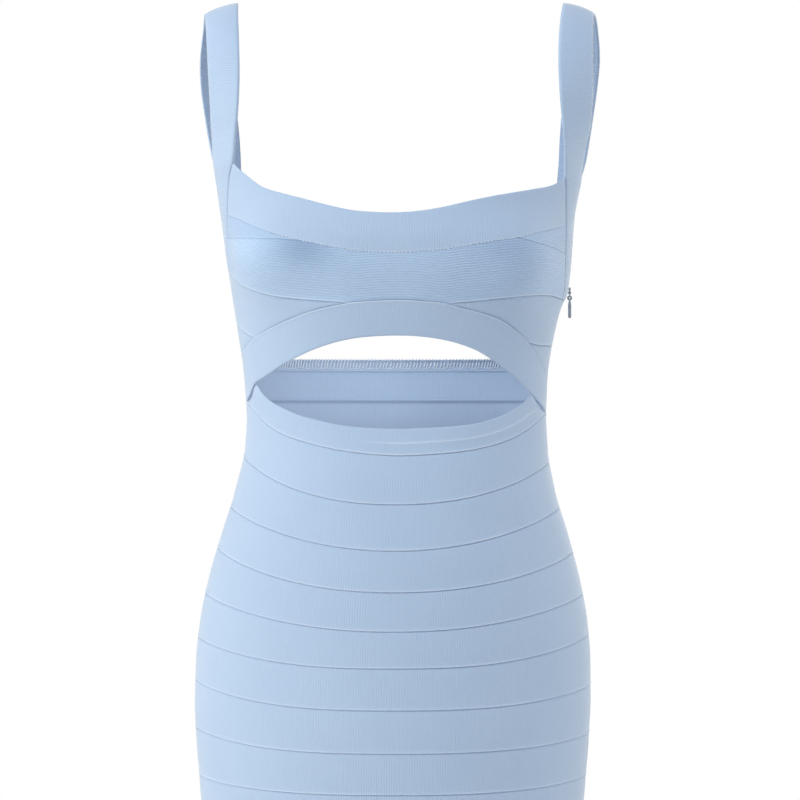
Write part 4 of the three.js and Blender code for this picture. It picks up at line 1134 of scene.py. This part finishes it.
tape_z, tape_side = np.linspace(ZIP_TOP, ZIP_END, 94), np.linspace(-TAPE_HALF, TAPE_HALF, 7)
grid_s, grid_z = np.meshgrid(tape_side, tape_z)
tape_angle = ZIP_SIDE + grid_s / mm_per_degree(ZIP_SIDE, grid_z)
tape_points = inside(tape_angle, grid_z, np.full(grid_z.shape, TAPE_DEEP))
tape = cloth_mesh("zip_tape_woven", tape_points, grid_s, grid_z, wall=TAPE_CLOTH)
dress(tape, tape_finish, "zip_tape", "zip_tape")

# %% Zip coil
TOOTH_PITCH, TOOTH_HALF, TOOTH_THICK, COIL_INSET = 1.4, 1.5, 0.38, 2
# Of three points of a turn: share of its half width, height and depth inside the form in mm
TOOTH_ACROSS = np.array([1, 0.5, -0.25])
TOOTH_RISE = np.array([0.35, 0.1, 0])
TOOTH_DEEP = np.array([2.75, 2.55, 2.6])

teeth = []
for k, z in enumerate(np.arange(ZIP_TOP - COIL_INSET, ZIP_END + COIL_INSET, -TOOTH_PITCH)):
    way = 1 if k % 2 else -1
    side = way * TOOTH_HALF * TOOTH_ACROSS / mm_per_degree(ZIP_SIDE, z)
    teeth.append(tube(inside(ZIP_SIDE + side, z + way * TOOTH_RISE, TOOTH_DEEP), TOOTH_THICK, sides=6))
dress(joined("zip_coil", teeth), coil_finish, "zip_tape")
print("coil turns:", len(teeth))

# %% [markdown]
# ## Room, light and camera
# The photograph is a studio cut-out: an even white surround, a broad soft light from the left, a
# weaker one on the right and a cool one above. One more lights the back for the views from there.
# The camera stands level with the middle of the picture, three metres away, with a long lens, so
# the dress runs out of the lower edge as in the photograph.

# %% Floor
# Uncoated paper: dead matt and faintly mottled
FLOOR = -1.3
bpy.ops.object.select_all(action="DESELECT")
bpy.ops.mesh.primitive_plane_add(size=2.6, location=(0, 0, FLOOR))
floor = bpy.context.active_object
floor.name = "studio_floor"
bpy.ops.object.transform_apply(location=True)
floor_finish, tree, place = new_material("matt_white_paper")
pulp = node(tree, "TexNoise", {"Vector": place, "Scale": blotch(17), "Detail": 4.0})
paper = node(tree, "Mix", {"Factor": pulp, 6: linear("ececec"), 7: linear("f4f4f4")}, data_type="RGBA")
surface = node(tree, "BsdfPrincipled", {"Base Color": paper.outputs[2], "Roughness": 0.9})
node(tree, "OutputMaterial", [surface])
floor.data.materials.append(floor_finish)
print("floor at", FLOOR, "m")

# %% Light
def softbox(name, place, target, size, power, colour):
    """A square lamp. Places and size are metres, and power is watts."""
    data = bpy.data.lights.new(name, "AREA")
    data.shape, data.size, data.energy, data.color = "SQUARE", size, power, colour
    lamp = placed(name, data)
    lamp.location = place
    lamp.rotation_euler = (Vector(target) - Vector(place)).to_track_quat("-Z", "Y").to_euler()
    print(name, power, "W")
    return lamp


softbox("key_left", (-2.3, -1.05, 0.1), (0, 0, -0.4), 1.2, 47, (1.0, 0.93, 0.8))
softbox("rim_right", (2.2, 0.1, 0.1), (0, 0, -0.4), 0.9, 20, (1.0, 0.88, 0.7))
softbox("top_front", (-0.4, -1.1, 1.9), (0, 0, -0.2), 1.2, 25, (0.93, 0.97, 1.0))
softbox("back_soft", (0.9, 2.2, 0.5), (0, 0, -0.45), 1.2, 18, (1.0, 0.97, 0.93))
cutout_fill = softbox("fill_through_cutout", (-0.03, -0.035, -0.35), (-0.03, 0.3, -0.37), 0.12, 0.1,
                      (1.0, 0.93, 0.82))
cutout_fill.visible_camera = False

# %% White walls, and a dimmer ceiling and ground
world = bpy.data.worlds.new("white_studio")
world.use_nodes = True
sky = world.node_tree
direction = node(sky, "TexCoord").outputs["Generated"]
steep = node(sky, "Math", [node(sky, "SeparateXYZ", [direction]).outputs["Z"]], operation="ABSOLUTE")
level = node(sky, "MapRange", {
    "Value": steep, "From Min": 0.14, "From Max": 0.5, "To Min": 1.0, "To Max": 0.36,
}, interpolation_type="SMOOTHSTEP")
background = sky.nodes["Background"].inputs
sky.links.new(level.outputs["Result"], background["Strength"])
background["Color"].default_value = (1, 1, 1, 1)
bpy.context.scene.world = world
bpy.context.scene.view_settings.view_transform = "Standard"
print("surround:", world.name)

# %% Camera
VIEW_WIDTH, DISTANCE, VIEW_HEIGHT, SENSOR = 0.68, 3.0, -0.332, 36.0
eye = bpy.data.cameras.new("camera")
eye.sensor_width = SENSOR
eye.lens = SENSOR * DISTANCE / VIEW_WIDTH
camera = placed("camera", eye)
camera.location = (0, -DISTANCE, VIEW_HEIGHT)
camera.rotation_euler = (math.pi / 2, 0, 0)
bpy.context.scene.camera = camera
print("lens:", round(eye.lens), "mm")
